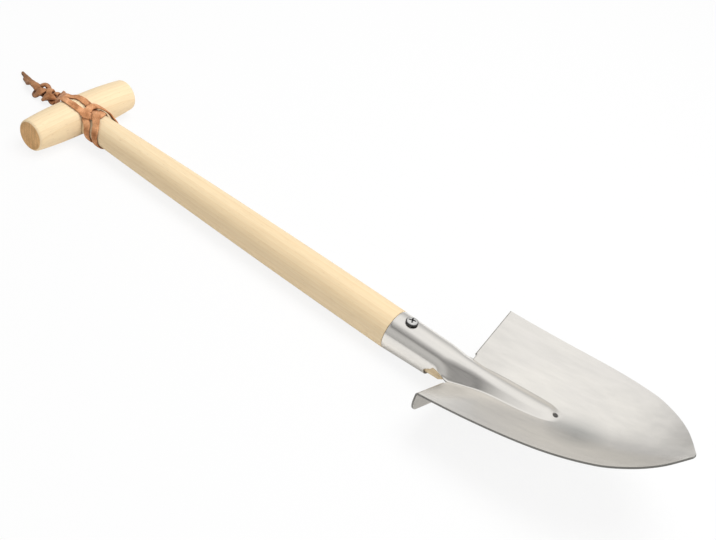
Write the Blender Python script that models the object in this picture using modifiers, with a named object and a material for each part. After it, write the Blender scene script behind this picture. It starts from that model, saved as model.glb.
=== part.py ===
"""A short spade with a turned wooden grip, a pressed steel blade and a leather lace, lying face up.

The tool's own frame has X along the shaft from the grip to the blade's tip, Y across, and Z out of
the blade's face. The origin of the world is under the middle of the tool, on the ground it lies on.
"""

import math

import bmesh
import bpy
import numpy as np
from mathutils import Vector

# Grip, a barrel across the end of the shaft
GRIP_LENGTH = 0.0912
GRIP_MID_RADIUS = 0.0137
GRIP_END_RADIUS = 0.0115
GRIP_TAPER_POWER = 2.5
GRIP_EDGE_ROUNDING = 0.0009

# Shaft, measured from the grip's axis
SHAFT_TO_RIM = 0.2938
SHAFT_GRIP_RADIUS = 0.0096
SHAFT_MID_RADIUS = 0.01275
SHAFT_RIM_RADIUS = 0.01375
SHAFT_SEAT_DEPTH = 0.0060
SHAFT_INTO_SOCKET = 0.0458
SHAFT_END_CHAMFER = 0.0040

# Steel pressing: socket, ridge, blade and treads from one sheet
SHEET = 0.0012
SOCKET_LENGTH = 0.0510
SOCKET_RIM_RADIUS = 0.0137
SOCKET_SHOULDER_RADIUS = 0.0123
SOCKET_SEAM = 0.0040
NOTCH_START = 0.0380
NOTCH_BACK_SET = 0.0055
NOTCH_ANGLE = math.radians(77)
NOTCH_ROUNDS_OVER = math.radians(26)
BLADE_LENGTH = 0.1452
BLADE_HALF_WIDTHS = (
    (0.0, 0.0530), (0.24, 0.0505), (0.5, 0.0465), (0.73, 0.0381),
    (0.84, 0.0289), (0.92, 0.0183), (1.0, 0.0015),
)
BLADE_EDGE_HEIGHT = 0.0209
BLADE_EDGE_LIFT = 0.0148
BLADE_EDGE_CURVE = 0.0156
BLADE_VALLEY_HEIGHTS = (
    (0.0, -0.0018), (0.16, 0.0069), (0.33, 0.0116), (0.46, 0.0157),
    (0.68, 0.0254), (0.85, 0.0370),
)
VALLEY_ROUNDING = (0.08, 0.45)
RIDGE_LENGTH = 0.0700
RIDGE_CREST_RISES = (
    (0.0, 0.0), (0.17, 0.0002), (0.34, 0.0007), (0.52, 0.0016),
    (0.69, 0.0028), (0.86, 0.0042), (1.0, 0.0050),
)
RIDGE_HALF_WIDTHS = (
    (0.0, 0.0150), (0.17, 0.0120), (0.34, 0.0108), (0.6, 0.0099),
    (0.77, 0.0090), (0.86, 0.0080), (0.94, 0.0060), (1.0, 0.0035),
)
RIDGE_ROUNDING = (0.5, 0.1)
RIDGE_NOSE_FROM = 0.84
TREAD_DEPTH = 0.0125
TREAD_BEND = 0.0015
TREAD_OUTER_CORNER = 0.0080
TREAD_INNER_CORNER = 0.0070
TREAD_FROM_SOCKET = 0.0050

# Screw through the socket into the shaft
SCREW_FROM_RIM = 0.0100
SCREW_HEAD_RADIUS = 0.0042
SCREW_HEAD_HEIGHT = 0.0022
SCREW_HEAD_SIDE = 0.0007
SCREW_SHANK_RADIUS = 0.0019
SCREW_LENGTH = 0.0160
SCREW_CROSS_SPAN = 0.0046
SCREW_CROSS_WIDTH = 0.0010
SCREW_CROSS_DEPTH = 0.0011
SCREW_CROSS_TURN = math.radians(25)

# Leather lace
LACE_RADIUS = 0.0012
LACE_LAYER_GAP = 0.0007
LACE_SPACING = 0.0021
KNOT_HALF_RISE = 0.0028

CLEARANCE = 0.0003

# Fineness of the meshes
ROUND_SEGMENTS = 40
CAP_STEPS = 7
WRAP_STEPS = 8
WING_STEPS = 12

STRAND_GAP_DEGREES = math.degrees(CLEARANCE / (GRIP_MID_RADIUS + CLEARANCE + LACE_RADIUS))

SHOULDER_X = SHAFT_TO_RIM + SOCKET_LENGTH
TIP_X = SHOULDER_X + BLADE_LENGTH
SCREW_X = SHAFT_TO_RIM + SCREW_FROM_RIM
TIP_HEIGHT = BLADE_EDGE_HEIGHT + BLADE_EDGE_LIFT + BLADE_EDGE_CURVE

# The tool rests on the grip's belly and on its widest place beside the rim, pitched a little.
REST_PITCH = math.asin((max(SHAFT_RIM_RADIUS, SOCKET_RIM_RADIUS) - GRIP_MID_RADIUS) / SHAFT_TO_RIM)


def clear_scene():
    for obj in list(bpy.data.objects):
        bpy.data.objects.remove(obj, do_unlink=True)


def new_collection(name):
    collection = bpy.data.collections.new(name)
    bpy.context.scene.collection.children.link(collection)
    return collection


def material(name, colour, roughness, metallic=0.0):
    mat = bpy.data.materials.new(name)
    mat.use_nodes = True
    shader = mat.node_tree.nodes["Principled BSDF"]
    shader.inputs["Base Color"].default_value = (*colour, 1.0)
    shader.inputs["Roughness"].default_value = roughness
    shader.inputs["Metallic"].default_value = metallic
    return mat


def new_object(name, data, collection, mat=None):
    obj = bpy.data.objects.new(name, data)
    collection.objects.link(obj)
    obj.parent = tool
    if mat:
        data.materials.append(mat)
    return obj


def shade_smooth(obj):
    """Applies the modifiers, then shades the solid smooth between its real edges."""
    bpy.context.view_layer.update()
    graph = bpy.context.evaluated_depsgraph_get()
    solid = bpy.data.meshes.new_from_object(obj.evaluated_get(graph))
    obj.modifiers.clear()
    obj.data = solid
    solid.shade_smooth()
    solid.set_sharp_from_angle(angle=math.radians(35))


def mesh_from(name, bm):
    mesh = bpy.data.meshes.new(name)
    bm.to_mesh(mesh)
    bm.free()
    return mesh


def monotone(stations, at):
    """A smooth value through (place, value) stations that never overshoots between two of them."""
    x = np.array([s[0] for s in stations])
    y = np.array([s[1] for s in stations])
    step = np.diff(x)
    slope = np.diff(y) / step
    tangent = np.zeros(len(x))
    tangent[0], tangent[-1] = slope[0], slope[-1]
    for i in range(1, len(x) - 1):
        if slope[i - 1] * slope[i] > 0:
            a = 2 * step[i] + step[i - 1]
            b = step[i] + 2 * step[i - 1]
            tangent[i] = (a + b) / (a / slope[i - 1] + b / slope[i])
    at = min(max(at, x[0]), x[-1])
    i = min(int(np.searchsorted(x, at, side="right")) - 1, len(step) - 1)
    t = (at - x[i]) / step[i]
    return float(
        y[i] * (1 + 2 * t) * (1 - t) ** 2
        + tangent[i] * step[i] * t * (1 - t) ** 2
        + y[i + 1] * t * t * (3 - 2 * t)
        + tangent[i + 1] * step[i] * t * t * (t - 1)
    )


def turned(name, profile, collection, mat, axis):
    """A solid turned from (place along the axis, radius) pairs, listed from the low end to the high end."""
    mesh = bpy.data.meshes.new(name)
    points = [(radius, 0.0, place) for place, radius in reversed(profile)]
    mesh.from_pydata(points, [(i, i + 1) for i in range(len(points) - 1)], [])
    obj = new_object(name, mesh, collection, mat)
    screw = obj.modifiers.new("Turn", "SCREW")
    screw.steps = ROUND_SEGMENTS
    screw.render_steps = ROUND_SEGMENTS
    screw.use_merge_vertices = True
    screw.merge_threshold = 0.00001
    if axis == "X":
        obj.rotation_euler = (0.0, math.pi / 2, 0.0)
    elif axis == "Y":
        obj.rotation_euler = (-math.pi / 2, 0.0, 0.0)
    return obj


def cut(obj, cutter):
    cutter.hide_render = True
    cutter.display_type = "WIRE"
    boolean = obj.modifiers.new("Cut", "BOOLEAN")
    boolean.operation = "DIFFERENCE"
    boolean.object = cutter


def cylinder(name, radius, low, high, collection):
    """A round cutter along Z between two heights."""
    bm = bmesh.new()
    bmesh.ops.create_cone(
        bm, cap_ends=True, segments=24, radius1=radius, radius2=radius, depth=high - low
    )
    bmesh.ops.translate(bm, verts=bm.verts, vec=(0.0, 0.0, (low + high) / 2))
    return new_object(name, mesh_from(name, bm), collection)


def shaft_radius(x):
    """The shaft swells from the grip to the socket."""
    q = min(max(x / SHAFT_TO_RIM, 0.0), 1.0)
    square = 2 * (SHAFT_GRIP_RADIUS - 2 * SHAFT_MID_RADIUS + SHAFT_RIM_RADIUS)
    straight = SHAFT_RIM_RADIUS - SHAFT_GRIP_RADIUS - square
    return SHAFT_GRIP_RADIUS + straight * q + square * q * q


def socket_radius(x):
    """The socket narrows evenly from its rim to the blade's shoulder."""
    share = (x - SHAFT_TO_RIM) / SOCKET_LENGTH
    return SOCKET_RIM_RADIUS + (SOCKET_SHOULDER_RADIUS - SOCKET_RIM_RADIUS) * share


def socket_lean(x):
    """How far the socket's middle stands above the shaft's axis, because its top line runs level."""
    return SOCKET_RIM_RADIUS - socket_radius(x)


def fitted_radius(x):
    """The shaft's end inside the socket."""
    return socket_radius(x) - SHEET - CLEARANCE


def grip_radius(y):
    q = min(abs(y) / (GRIP_LENGTH / 2), 1.0)
    return GRIP_MID_RADIUS - (GRIP_MID_RADIUS - GRIP_END_RADIUS) * q**GRIP_TAPER_POWER


def make_grip():
    half = GRIP_LENGTH / 2
    round_from = half - GRIP_EDGE_ROUNDING
    side = [(y, grip_radius(y)) for y in np.linspace(0.0, round_from, 9)]
    corner_radius = grip_radius(round_from) - GRIP_EDGE_ROUNDING
    for angle in np.linspace(0.0, math.pi / 2, 5)[1:]:
        side.append(
            (
                round_from + GRIP_EDGE_ROUNDING * math.sin(angle),
                corner_radius + GRIP_EDGE_ROUNDING * math.cos(angle),
            )
        )
    side.append((half, 0.0))
    profile = [(-y, r) for y, r in reversed(side[1:])] + side
    grip = turned("grip", profile, parts, material("grip_beech", (0.78, 0.58, 0.36), 0.55), "Y")
    bore = cylinder(
        "grip_bore",
        shaft_radius(GRIP_MID_RADIUS) + CLEARANCE,
        -SHAFT_SEAT_DEPTH - CLEARANCE,
        2 * GRIP_MID_RADIUS,
        cutters,
    )
    bore.rotation_euler = (0.0, math.pi / 2, 0.0)
    cut(grip, bore)
    shade_smooth(grip)


def make_shaft():
    end = SHAFT_TO_RIM + SHAFT_INTO_SOCKET
    foot = SHAFT_TO_RIM - CLEARANCE
    chamfer_from = end - SHAFT_END_CHAMFER
    profile = [(-SHAFT_SEAT_DEPTH, 0.0), (-SHAFT_SEAT_DEPTH, SHAFT_GRIP_RADIUS), (0.0, SHAFT_GRIP_RADIUS)]
    profile += [(x, shaft_radius(x)) for x in np.linspace(0.0, foot, 13)[1:]]
    profile += [
        (foot, fitted_radius(SHAFT_TO_RIM)),
        (SHAFT_TO_RIM, fitted_radius(SHAFT_TO_RIM)),
        (chamfer_from, fitted_radius(chamfer_from)),
        (end - SHAFT_END_CHAMFER * 0.3, fitted_radius(end) - SHAFT_END_CHAMFER * 0.4),
        (end, fitted_radius(end) - SHAFT_END_CHAMFER),
        (end, 0.0),
    ]
    shaft = turned("shaft", profile, parts, material("shaft_beech", (0.82, 0.64, 0.42), 0.5), "X")
    shade_smooth(shaft)
    for vert in shaft.data.vertices:
        if vert.co.z > SHAFT_TO_RIM:
            vert.co.x -= socket_lean(vert.co.z)
    pilot = cylinder(
        "pilot_hole",
        SCREW_SHANK_RADIUS + CLEARANCE,
        SOCKET_RIM_RADIUS - SCREW_LENGTH - CLEARANCE,
        2 * SOCKET_RIM_RADIUS,
        cutters,
    )
    pilot.location.x = SCREW_X
    cut(shaft, pilot)
    shade_smooth(shaft)
    return pilot


def blade_half_width(s):
    return monotone(BLADE_HALF_WIDTHS, s)


def valley_height(s):
    return monotone((*BLADE_VALLEY_HEIGHTS, (1.0, TIP_HEIGHT)), s)


def dish(s, y):
    """Height of the blade's face at a share s of its length from the shoulder, y off the middle."""
    edge = BLADE_EDGE_HEIGHT + BLADE_EDGE_LIFT * s + BLADE_EDGE_CURVE * s * s
    valley = valley_height(s)
    e = VALLEY_ROUNDING[0] + (VALLEY_ROUNDING[1] - VALLEY_ROUNDING[0]) * s
    t = min(abs(y) / blade_half_width(s), 1.0)
    rise = (math.hypot(t, e) - e) / (math.hypot(1.0, e) - e)
    return valley + (edge - valley) * rise


def smooth_share(value):
    """From 0 to 1 and level at both ends."""
    value = min(max(value, 0.0), 1.0)
    return value * value * (3 - 2 * value)


def rounded_slope(u):
    """A straight slope from 1 down to 0 with a round top and a round foot."""
    top, foot = RIDGE_ROUNDING
    steep = 1 / (1 - top / 2 - foot / 2)
    if u < top:
        return 1 - steep * u * u / 2 / top
    if u < 1 - foot:
        return 1 - steep * (u - top / 2)
    return steep * (1 - u) ** 2 / 2 / foot


def ridge_point(d, share):
    """Across the ridge at a distance d past the shoulder: share 0 is its crest and 1 its foot."""
    s = d / BLADE_LENGTH
    q = min(d / RIDGE_LENGTH, 1.0)
    foot_width = min(monotone(RIDGE_HALF_WIDTHS, q), 0.5 * blade_half_width(s))
    y = foot_width * share
    crest = SOCKET_RIM_RADIUS + monotone(RIDGE_CREST_RISES, q)
    foot = dish(s, foot_width)
    ridge = foot + (crest - foot) * rounded_slope(share)
    nose = smooth_share((q - RIDGE_NOSE_FROM) / (1 - RIDGE_NOSE_FROM))
    return y, ridge + (dish(s, y) - ridge) * nose


def tread_depth(along, length):
    """How far the folded tread reaches, at a distance along its fold from its outer end."""
    depth = TREAD_DEPTH
    for corner, from_end in ((TREAD_OUTER_CORNER, along), (TREAD_INNER_CORNER, length - along)):
        if from_end < corner:
            depth -= corner - math.sqrt(corner**2 - (corner - from_end) ** 2)
    return depth


class HalfSheet:
    """The pressing's upper face on the +Y side, grown one row of points at a time."""

    def __init__(self):
        self.verts = []
        self.faces = []

    def add(self, x, y, z):
        self.verts.append((x, max(y, 0.0), z))
        return len(self.verts) - 1

    def add_round(self, x, angle):
        """A point of the socket, at an angle from its top."""
        radius = socket_radius(x)
        return self.add(x, radius * math.sin(angle), socket_lean(x) + radius * math.cos(angle))

    def join(self, first, second):
        self.faces += zip(first[:-1], second[:-1], second[1:], first[1:])


def grow_socket(sheet):
    """The socket's tube, cut back below the notches, and the cap that flares on over them to the blade."""
    seam = math.pi - SOCKET_SEAM / 2 / SOCKET_RIM_RADIUS
    cap_angles = np.linspace(0.0, NOTCH_ANGLE, CAP_STEPS + 1)
    wrap_angles = np.linspace(NOTCH_ANGLE, seam, WRAP_STEPS + 1)[1:]
    back = np.clip((wrap_angles - NOTCH_ANGLE) / NOTCH_ROUNDS_OVER, 0.0, 1.0)
    wrap_ends = NOTCH_START - NOTCH_BACK_SET * back * back * (3 - 2 * back)
    last = None
    for v in np.linspace(0.0, 1.0, 9):
        row = [sheet.add_round(SHAFT_TO_RIM + NOTCH_START * v, angle) for angle in cap_angles]
        for angle, end in zip(wrap_angles, wrap_ends):
            row.append(sheet.add_round(SHAFT_TO_RIM + end * v, angle))
        if last:
            sheet.join(last, row)
        last = row

    last = last[: CAP_STEPS + 1]
    for v in (0.2, 0.4, 0.6, 0.8, 0.93):
        x = SHAFT_TO_RIM + NOTCH_START + (SOCKET_LENGTH - NOTCH_START) * v
        flare = smooth_share(v)
        row = []
        for angle in cap_angles:
            y, z = ridge_point(0.0, angle / NOTCH_ANGLE)
            k = sheet.add_round(x, angle)
            round_y, round_z = sheet.verts[k][1:]
            sheet.verts[k] = (x, round_y + (y - round_y) * flare, round_z + (z - round_z) * flare)
            row.append(k)
        sheet.join(last, row)
        last = row
    return last


def grow_blade(sheet, cap):
    """The ridge runs on from the socket's cap, with the blade's wing beside it out to the edge."""
    distances = list(RIDGE_LENGTH * np.sin(np.linspace(0.0, math.pi / 2, 18)))
    past_ridge = BLADE_LENGTH - RIDGE_LENGTH
    distances += list(RIDGE_LENGTH + past_ridge * np.sin(np.linspace(0.0, math.pi / 2, 15)[1:]))
    wing = (1 - np.cos(np.linspace(0.0, math.pi, WING_STEPS + 1)[1:])) / 2
    rows = []
    for d in distances:
        s = d / BLADE_LENGTH
        row = []
        for share in np.linspace(0.0, 1.0, CAP_STEPS + 1):
            row.append(sheet.add(SHOULDER_X + d, *ridge_point(d, share)))
        foot_width = sheet.verts[row[-1]][1]
        for share in wing:
            y = foot_width + (blade_half_width(s) - foot_width) * share
            row.append(sheet.add(SHOULDER_X + d, y, dish(s, y)))
        if rows:
            sheet.join(rows[-1], row)
        else:
            sheet.join(cap, row[: CAP_STEPS + 1])
        rows.append(row)
    return rows[0]


def grow_tread(sheet, shoulder):
    """The foot tread is folded down from the blade's shoulder, outside the socket."""
    beside_socket = SOCKET_RIM_RADIUS + TREAD_FROM_SOCKET
    fold = [k for k in shoulder[CAP_STEPS + 1 :] if sheet.verts[k][1] > beside_socket]
    inner = Vector(sheet.verts[fold[0]])
    outer = Vector(sheet.verts[fold[-1]])
    along = (outer - inner).normalized()
    up = Vector((1.0, 0.0, 0.1)).cross(along).normalized()
    if up.z < 0:
        up.negate()
    backwards = along.cross(up).normalized()
    if backwards.x > 0:
        backwards.negate()
    last = fold
    for turn in (30, 60, 90):
        angle = math.radians(turn)
        bend = TREAD_BEND * (math.sin(angle) * backwards - (1 - math.cos(angle)) * up)
        row = [sheet.add(*(Vector(sheet.verts[k]) + bend)) for k in fold]
        sheet.join(row, last)
        last = row
    bend_row = last
    for v in (0.2, 0.5, 0.78, 1.0):
        row = []
        for k, base in zip(fold, bend_row):
            from_outer = (outer - Vector(sheet.verts[k])).length
            reach = max(tread_depth(from_outer, (outer - inner).length) - TREAD_BEND, SHEET / 2)
            row.append(sheet.add(*(Vector(sheet.verts[base]) - reach * v * up)))
        sheet.join(row, last)
        last = row


def make_blade(screw_hole):
    sheet = HalfSheet()
    cap = grow_socket(sheet)
    shoulder = grow_blade(sheet, cap)
    grow_tread(sheet, shoulder)
    mesh = bpy.data.meshes.new("blade_pressing")
    mesh.from_pydata(sheet.verts, [], sheet.faces)
    steel = material("satin_steel", (0.72, 0.71, 0.69), 0.32, 1.0)
    blade = new_object("blade_pressing", mesh, parts, steel)
    mirror = blade.modifiers.new("Both sides", "MIRROR")
    mirror.use_axis = (False, True, False)
    mirror.merge_threshold = 0.00001
    thick = blade.modifiers.new("Sheet", "SOLIDIFY")
    thick.thickness = SHEET
    thick.offset = -1.0
    thick.use_even_offset = True
    cut(blade, screw_hole)
    shade_smooth(blade)


def make_screw():
    seat = SOCKET_RIM_RADIUS + CLEARANCE
    profile = [
        (SOCKET_RIM_RADIUS - SCREW_LENGTH, 0.0),
        (SOCKET_RIM_RADIUS - SCREW_LENGTH + SCREW_SHANK_RADIUS, SCREW_SHANK_RADIUS),
        (seat, SCREW_SHANK_RADIUS),
        (seat, SCREW_HEAD_RADIUS),
    ]
    dome = SCREW_HEAD_HEIGHT - SCREW_HEAD_SIDE
    for angle in np.linspace(0.0, math.pi / 2, 6)[1:-1]:
        height = seat + SCREW_HEAD_SIDE + dome * math.sin(angle)
        profile.append((height, SCREW_HEAD_RADIUS * math.cos(angle)))
    profile.append((seat + SCREW_HEAD_HEIGHT, 0.0))
    plated = material("plated_steel", (0.75, 0.75, 0.75), 0.22, 1.0)
    screw = turned("socket_screw", profile, parts, plated, "Z")
    screw.location.x = SCREW_X
    for number in range(2):
        bm = bmesh.new()
        bmesh.ops.create_cube(bm, size=1.0)
        size = (SCREW_CROSS_SPAN, SCREW_CROSS_WIDTH, 2 * SCREW_CROSS_DEPTH)
        bmesh.ops.scale(bm, verts=bm.verts, vec=size)
        slot = new_object(f"cross_slot_{number + 1}", mesh_from("cross_slot", bm), cutters)
        slot.location = (SCREW_X, 0.0, seat + SCREW_HEAD_HEIGHT)
        slot.rotation_euler.z = SCREW_CROSS_TURN + number * math.pi / 2
        cut(screw, slot)
    shade_smooth(screw)


def smooth_route(points, spacing):
    """Points about one spacing apart on a centripetal curve through the chosen ones."""
    p = [Vector(q) for q in points]
    p = [2 * p[0] - p[1]] + p + [2 * p[-1] - p[-2]]
    fine = []
    for i in range(1, len(p) - 2):
        a, b, c, d = p[i - 1 : i + 3]
        t0 = 0.0
        t1 = t0 + max((b - a).length, 1e-6) ** 0.5
        t2 = t1 + max((c - b).length, 1e-6) ** 0.5
        t3 = t2 + max((d - c).length, 1e-6) ** 0.5
        for t in np.linspace(t1, t2, 12, endpoint=False):
            e = a * ((t1 - t) / (t1 - t0)) + b * ((t - t0) / (t1 - t0))
            f = b * ((t2 - t) / (t2 - t1)) + c * ((t - t1) / (t2 - t1))
            g = c * ((t3 - t) / (t3 - t2)) + d * ((t - t2) / (t3 - t2))
            h = e * ((t2 - t) / (t2 - t0)) + f * ((t - t0) / (t2 - t0))
            k = f * ((t3 - t) / (t3 - t1)) + g * ((t - t1) / (t3 - t1))
            fine.append(h * ((t2 - t) / (t2 - t1)) + k * ((t - t1) / (t2 - t1)))
    fine.append(p[-2])
    line = np.array(fine)
    along = np.concatenate([[0.0], np.cumsum(np.linalg.norm(np.diff(line, axis=0), axis=1))])
    at = np.linspace(0.0, along[-1], max(2, round(along[-1] / spacing) + 1))
    return np.stack([np.interp(at, along, line[:, k]) for k in range(3)], axis=1)


def least_gap(line, skip):
    """The least gap between two stretches of a tube that are more than skip apart along it."""
    along = np.concatenate([[0.0], np.cumsum(np.linalg.norm(np.diff(line, axis=0), axis=1))])
    gap = 1.0
    for i, p in enumerate(line):
        away = np.abs(along - along[i]) > skip
        if away.any():
            gap = min(gap, float(np.linalg.norm(line[away] - p, axis=1).min()))
    return gap - 2 * LACE_RADIUS


def tube(name, line, resolution):
    curve = bpy.data.curves.new(name, "CURVE")
    curve.dimensions = "3D"
    curve.bevel_depth = LACE_RADIUS
    curve.bevel_resolution = resolution
    curve.use_fill_caps = True
    spline = curve.splines.new("POLY")
    spline.points.add(len(line) - 1)
    for point, place in zip(spline.points, line):
        point.co = (*place, 1.0)
    return new_object(name, curve, parts, leather)


def on_shaft(x_mm, degrees, layer):
    """A lace point on the shaft: degrees from the top, positive to +Y, and layer 0 on the wood."""
    x = x_mm / 1000
    radius = shaft_radius(x) + CLEARANCE + LACE_RADIUS + layer * (2 * LACE_RADIUS + LACE_LAYER_GAP)
    angle = math.radians(degrees)
    return x, radius * math.sin(angle), radius * math.cos(angle)


def on_grip(y_mm, degrees, layer=0.0):
    """A lace point on the grip: degrees from the top, positive towards the blade."""
    y = y_mm / 1000
    radius = grip_radius(y) + CLEARANCE + LACE_RADIUS + layer * (2 * LACE_RADIUS + LACE_LAYER_GAP)
    angle = math.radians(degrees)
    return radius * math.sin(angle), y, radius * math.cos(angle)


def ground_height(x):
    """The ground under the tool, as the tool's own frame sees it."""
    return -(GRIP_MID_RADIUS + x * math.sin(REST_PITCH)) / math.cos(REST_PITCH)


def mm(*place):
    return tuple(value / 1000 for value in place)


def knot_route(centre_mm, degrees, stretch, width, lead):
    """An overhand knot lying flat, with both ends leaving one way, degrees from +X seen from above."""
    angle = math.radians(degrees)
    out = np.array([math.cos(angle), math.sin(angle), 0.0])
    side = np.array([-out[1], out[0], 0.0])
    up = np.array([0.0, 0.0, 1.0])
    x, y = mm(*centre_mm)
    centre = np.array([x, y, ground_height(x) + CLEARANCE + LACE_RADIUS + KNOT_HALF_RISE])
    points = []
    for turn in np.linspace(math.radians(40), math.radians(320), 45):
        along = math.cos(turn) + 2 * math.cos(2 * turn)
        across = 2 * math.sin(2 * turn) - math.sin(turn)
        flat = stretch * along * out + width * across * side
        points.append(centre + flat + KNOT_HALF_RISE * math.sin(3 * turn) * up)
    return np.array([points[0] + lead * out, *points, points[-1] + lead * out]), out


def knot_gap(line):
    return least_gap(line, 4.5 * LACE_RADIUS)


def strand_to_knot(name, points, knot_end, out):
    """A free strand that ends face to face with a knot's end, running straight for its last diameter."""
    last = [tuple(knot_end + (CLEARANCE + 2 * LACE_RADIUS) * out), tuple(knot_end + CLEARANCE * out)]
    line = smooth_route(points + last, LACE_SPACING)
    tube(name, line, 1)
    return line


def make_lace():
    """One lace: two turns round the shaft's top, two strands over the grip, a knot under it and one beyond.

    Its first end comes over the grip, crosses the top of the shaft and goes down the near side as the
    outer turn. It comes back over the far side, crosses the top again and goes round as the inner turn.
    Then it runs under both crossings and back over the grip.
    """
    winding = [
        on_grip(0.6, 24),
        on_grip(1.3, 34),
        on_shaft(12.2, 6, 0.0),
        on_shaft(15.2, 1, 0.0),
        on_shaft(17.6, -5, 0.4),
        on_shaft(20.4, -14, 1.05),
        on_shaft(23.0, -26, 0.95),
        on_shaft(25.2, -40, 0.25),
        on_shaft(26.5, -54, 0.0),
        on_shaft(27.6, -73, 0.0),
        on_shaft(28.2, -90, 0.0),
        on_shaft(28.5, -108, 0.0),
        on_shaft(28.7, -132, 0.0),
        on_shaft(28.8, -158, 0.0),
        on_shaft(28.8, -184, 0.0),
        on_shaft(28.8, -210, 0.0),
        on_shaft(28.7, -236, 0.0),
        on_shaft(28.3, -262, 0.0),
        on_shaft(26.8, -283, 0.05),
        on_shaft(24.0, -296, 0.4),
        on_shaft(21.2, -306, 0.9),
        on_shaft(18.2, -315, 1.15),
        on_shaft(15.4, -326, 1.2),
        on_shaft(13.2, -338, 1.25),
        on_shaft(12.0, -350, 1.25),
        on_shaft(11.7, -362, 1.2),
        on_shaft(12.2, -374, 0.85),
        on_shaft(12.5, -384, 0.3),
        on_shaft(12.9, -393, 0.0),
        on_shaft(14.0, -403, 0.0),
        on_shaft(16.6, -413, 0.0),
        on_shaft(18.9, -426, 0.0),
        on_shaft(19.8, -442, 0.0),
        on_shaft(20.2, -460, 0.0),
        on_shaft(20.4, -482, 0.0),
        on_shaft(20.1, -508, 0.0),
        on_shaft(19.2, -536, 0.0),
        on_shaft(18.0, -564, 0.0),
        on_shaft(17.0, -592, 0.0),
        on_shaft(16.3, -618, 0.0),
        on_shaft(15.9, -642, 0.0),
        on_shaft(16.0, -662, 0.0),
        on_shaft(17.0, -680, 0.0),
        on_shaft(18.9, -697, 0.0),
        on_shaft(20.6, -711, 0.0),
        on_shaft(21.2, -724, 0.0),
        on_shaft(20.4, -736, 0.0),
        on_shaft(18.2, -745, 0.05),
        on_shaft(15.7, -751, 0.6),
        on_shaft(13.0, -754, 1.05),
        on_shaft(10.4, -752, 1.0),
        on_grip(-9.0, 24),
    ]
    winding_line = smooth_route(winding, LACE_SPACING)
    tube("lace_winding", winding_line, 1)

    near_line, near_out = knot_route((-38.9, 8.8), 10, 0.0021, 0.0020, 0.0022)
    far_line, far_out = knot_route((-51.0, 8.1), 172, 0.0024, 0.00195, 0.0030)
    tube("lace_knot_near", near_line, 1)
    tube("lace_knot_far", far_line, 1)

    upper = [
        on_grip(0.55, 24 - STRAND_GAP_DEGREES),
        on_grip(0.1, 12),
        on_grip(-0.5, 0),
        on_grip(-1.5, -12),
        on_grip(-2.9, -24),
        mm(-9.4, -4.0, 12.8),
        mm(-14.9, -1.9, 9.0),
        mm(-21.5, 2.6, 4.6),
        mm(-27.2, 7.4, 0.0),
        mm(-30.2, 10.4, -3.9),
    ]
    lower = [
        on_grip(-9.0, 24 - STRAND_GAP_DEGREES),
        on_grip(-9.6, 12),
        on_grip(-10.0, 0),
        on_grip(-9.8, -12),
        on_grip(-8.9, -24),
        mm(-9.4, -7.8, 12.2),
        mm(-14.6, -5.1, 8.0),
        mm(-21.0, -1.2, 3.2),
        mm(-25.6, 2.4, -2.2),
        mm(-28.6, 5.2, -8.0),
    ]
    upper_line = strand_to_knot("lace_strand_upper", upper, near_line[0], near_out)
    lower_line = strand_to_knot("lace_strand_lower", lower, near_line[-1], near_out)

    flat = 1000 * (ground_height(-0.07) + CLEARANCE + LACE_RADIUS)
    long_tail = [mm(-79.5, 14.7, flat), mm(-72.0, 12.9, flat), mm(-64.5, 11.6, flat)]
    short_tail = [mm(-71.8, 9.4, flat), mm(-67.2, 8.2, flat + 0.4), mm(-63.6, 7.0, flat + 2.2)]
    long_line = strand_to_knot("lace_tail_long", long_tail, far_line[-1], far_out)
    short_line = strand_to_knot("lace_tail_short", short_tail, far_line[0], far_out)

    lines = [winding_line, near_line, far_line, upper_line, lower_line, long_line, short_line]
    total = sum(float(np.linalg.norm(np.diff(line, axis=0), axis=1).sum()) for line in lines)
    print(f"lace winding: least gap to itself {least_gap(winding_line, 0.008) * 1000:.2f} mm")
    print(f"near knot: least gap to itself {knot_gap(near_line) * 1000:.2f} mm")
    print(f"far knot: least gap to itself {knot_gap(far_line) * 1000:.2f} mm")
    print(f"lace length along all its pieces {total * 1000:.0f} mm")


clear_scene()
parts = new_collection("hand_spade")
cutters = new_collection("cutters")
cutters.hide_render = True
tool = bpy.data.objects.new("tool_frame", None)
parts.objects.link(tool)

leather = material("tan_leather", (0.42, 0.22, 0.13), 0.75)

make_grip()
screw_hole = make_shaft()
make_blade(screw_hole)
make_screw()
make_lace()

tip_slope = math.atan(50 * (TIP_HEIGHT - valley_height(0.98)) / BLADE_LENGTH) + REST_PITCH
tip_reach = TIP_X * math.cos(REST_PITCH) - TIP_HEIGHT * math.sin(REST_PITCH) + SHEET * math.sin(tip_slope)
tool.rotation_euler = (0.0, -REST_PITCH, 0.0)
tool.location = ((GRIP_MID_RADIUS - tip_reach) / 2, 0.0, GRIP_MID_RADIUS)
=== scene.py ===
"""Looks for the short spade: its camera, lace, wood, steel and screw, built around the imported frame."""

import math

import bmesh
import bpy
import numpy as np
from mathutils import Matrix, Vector


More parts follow.
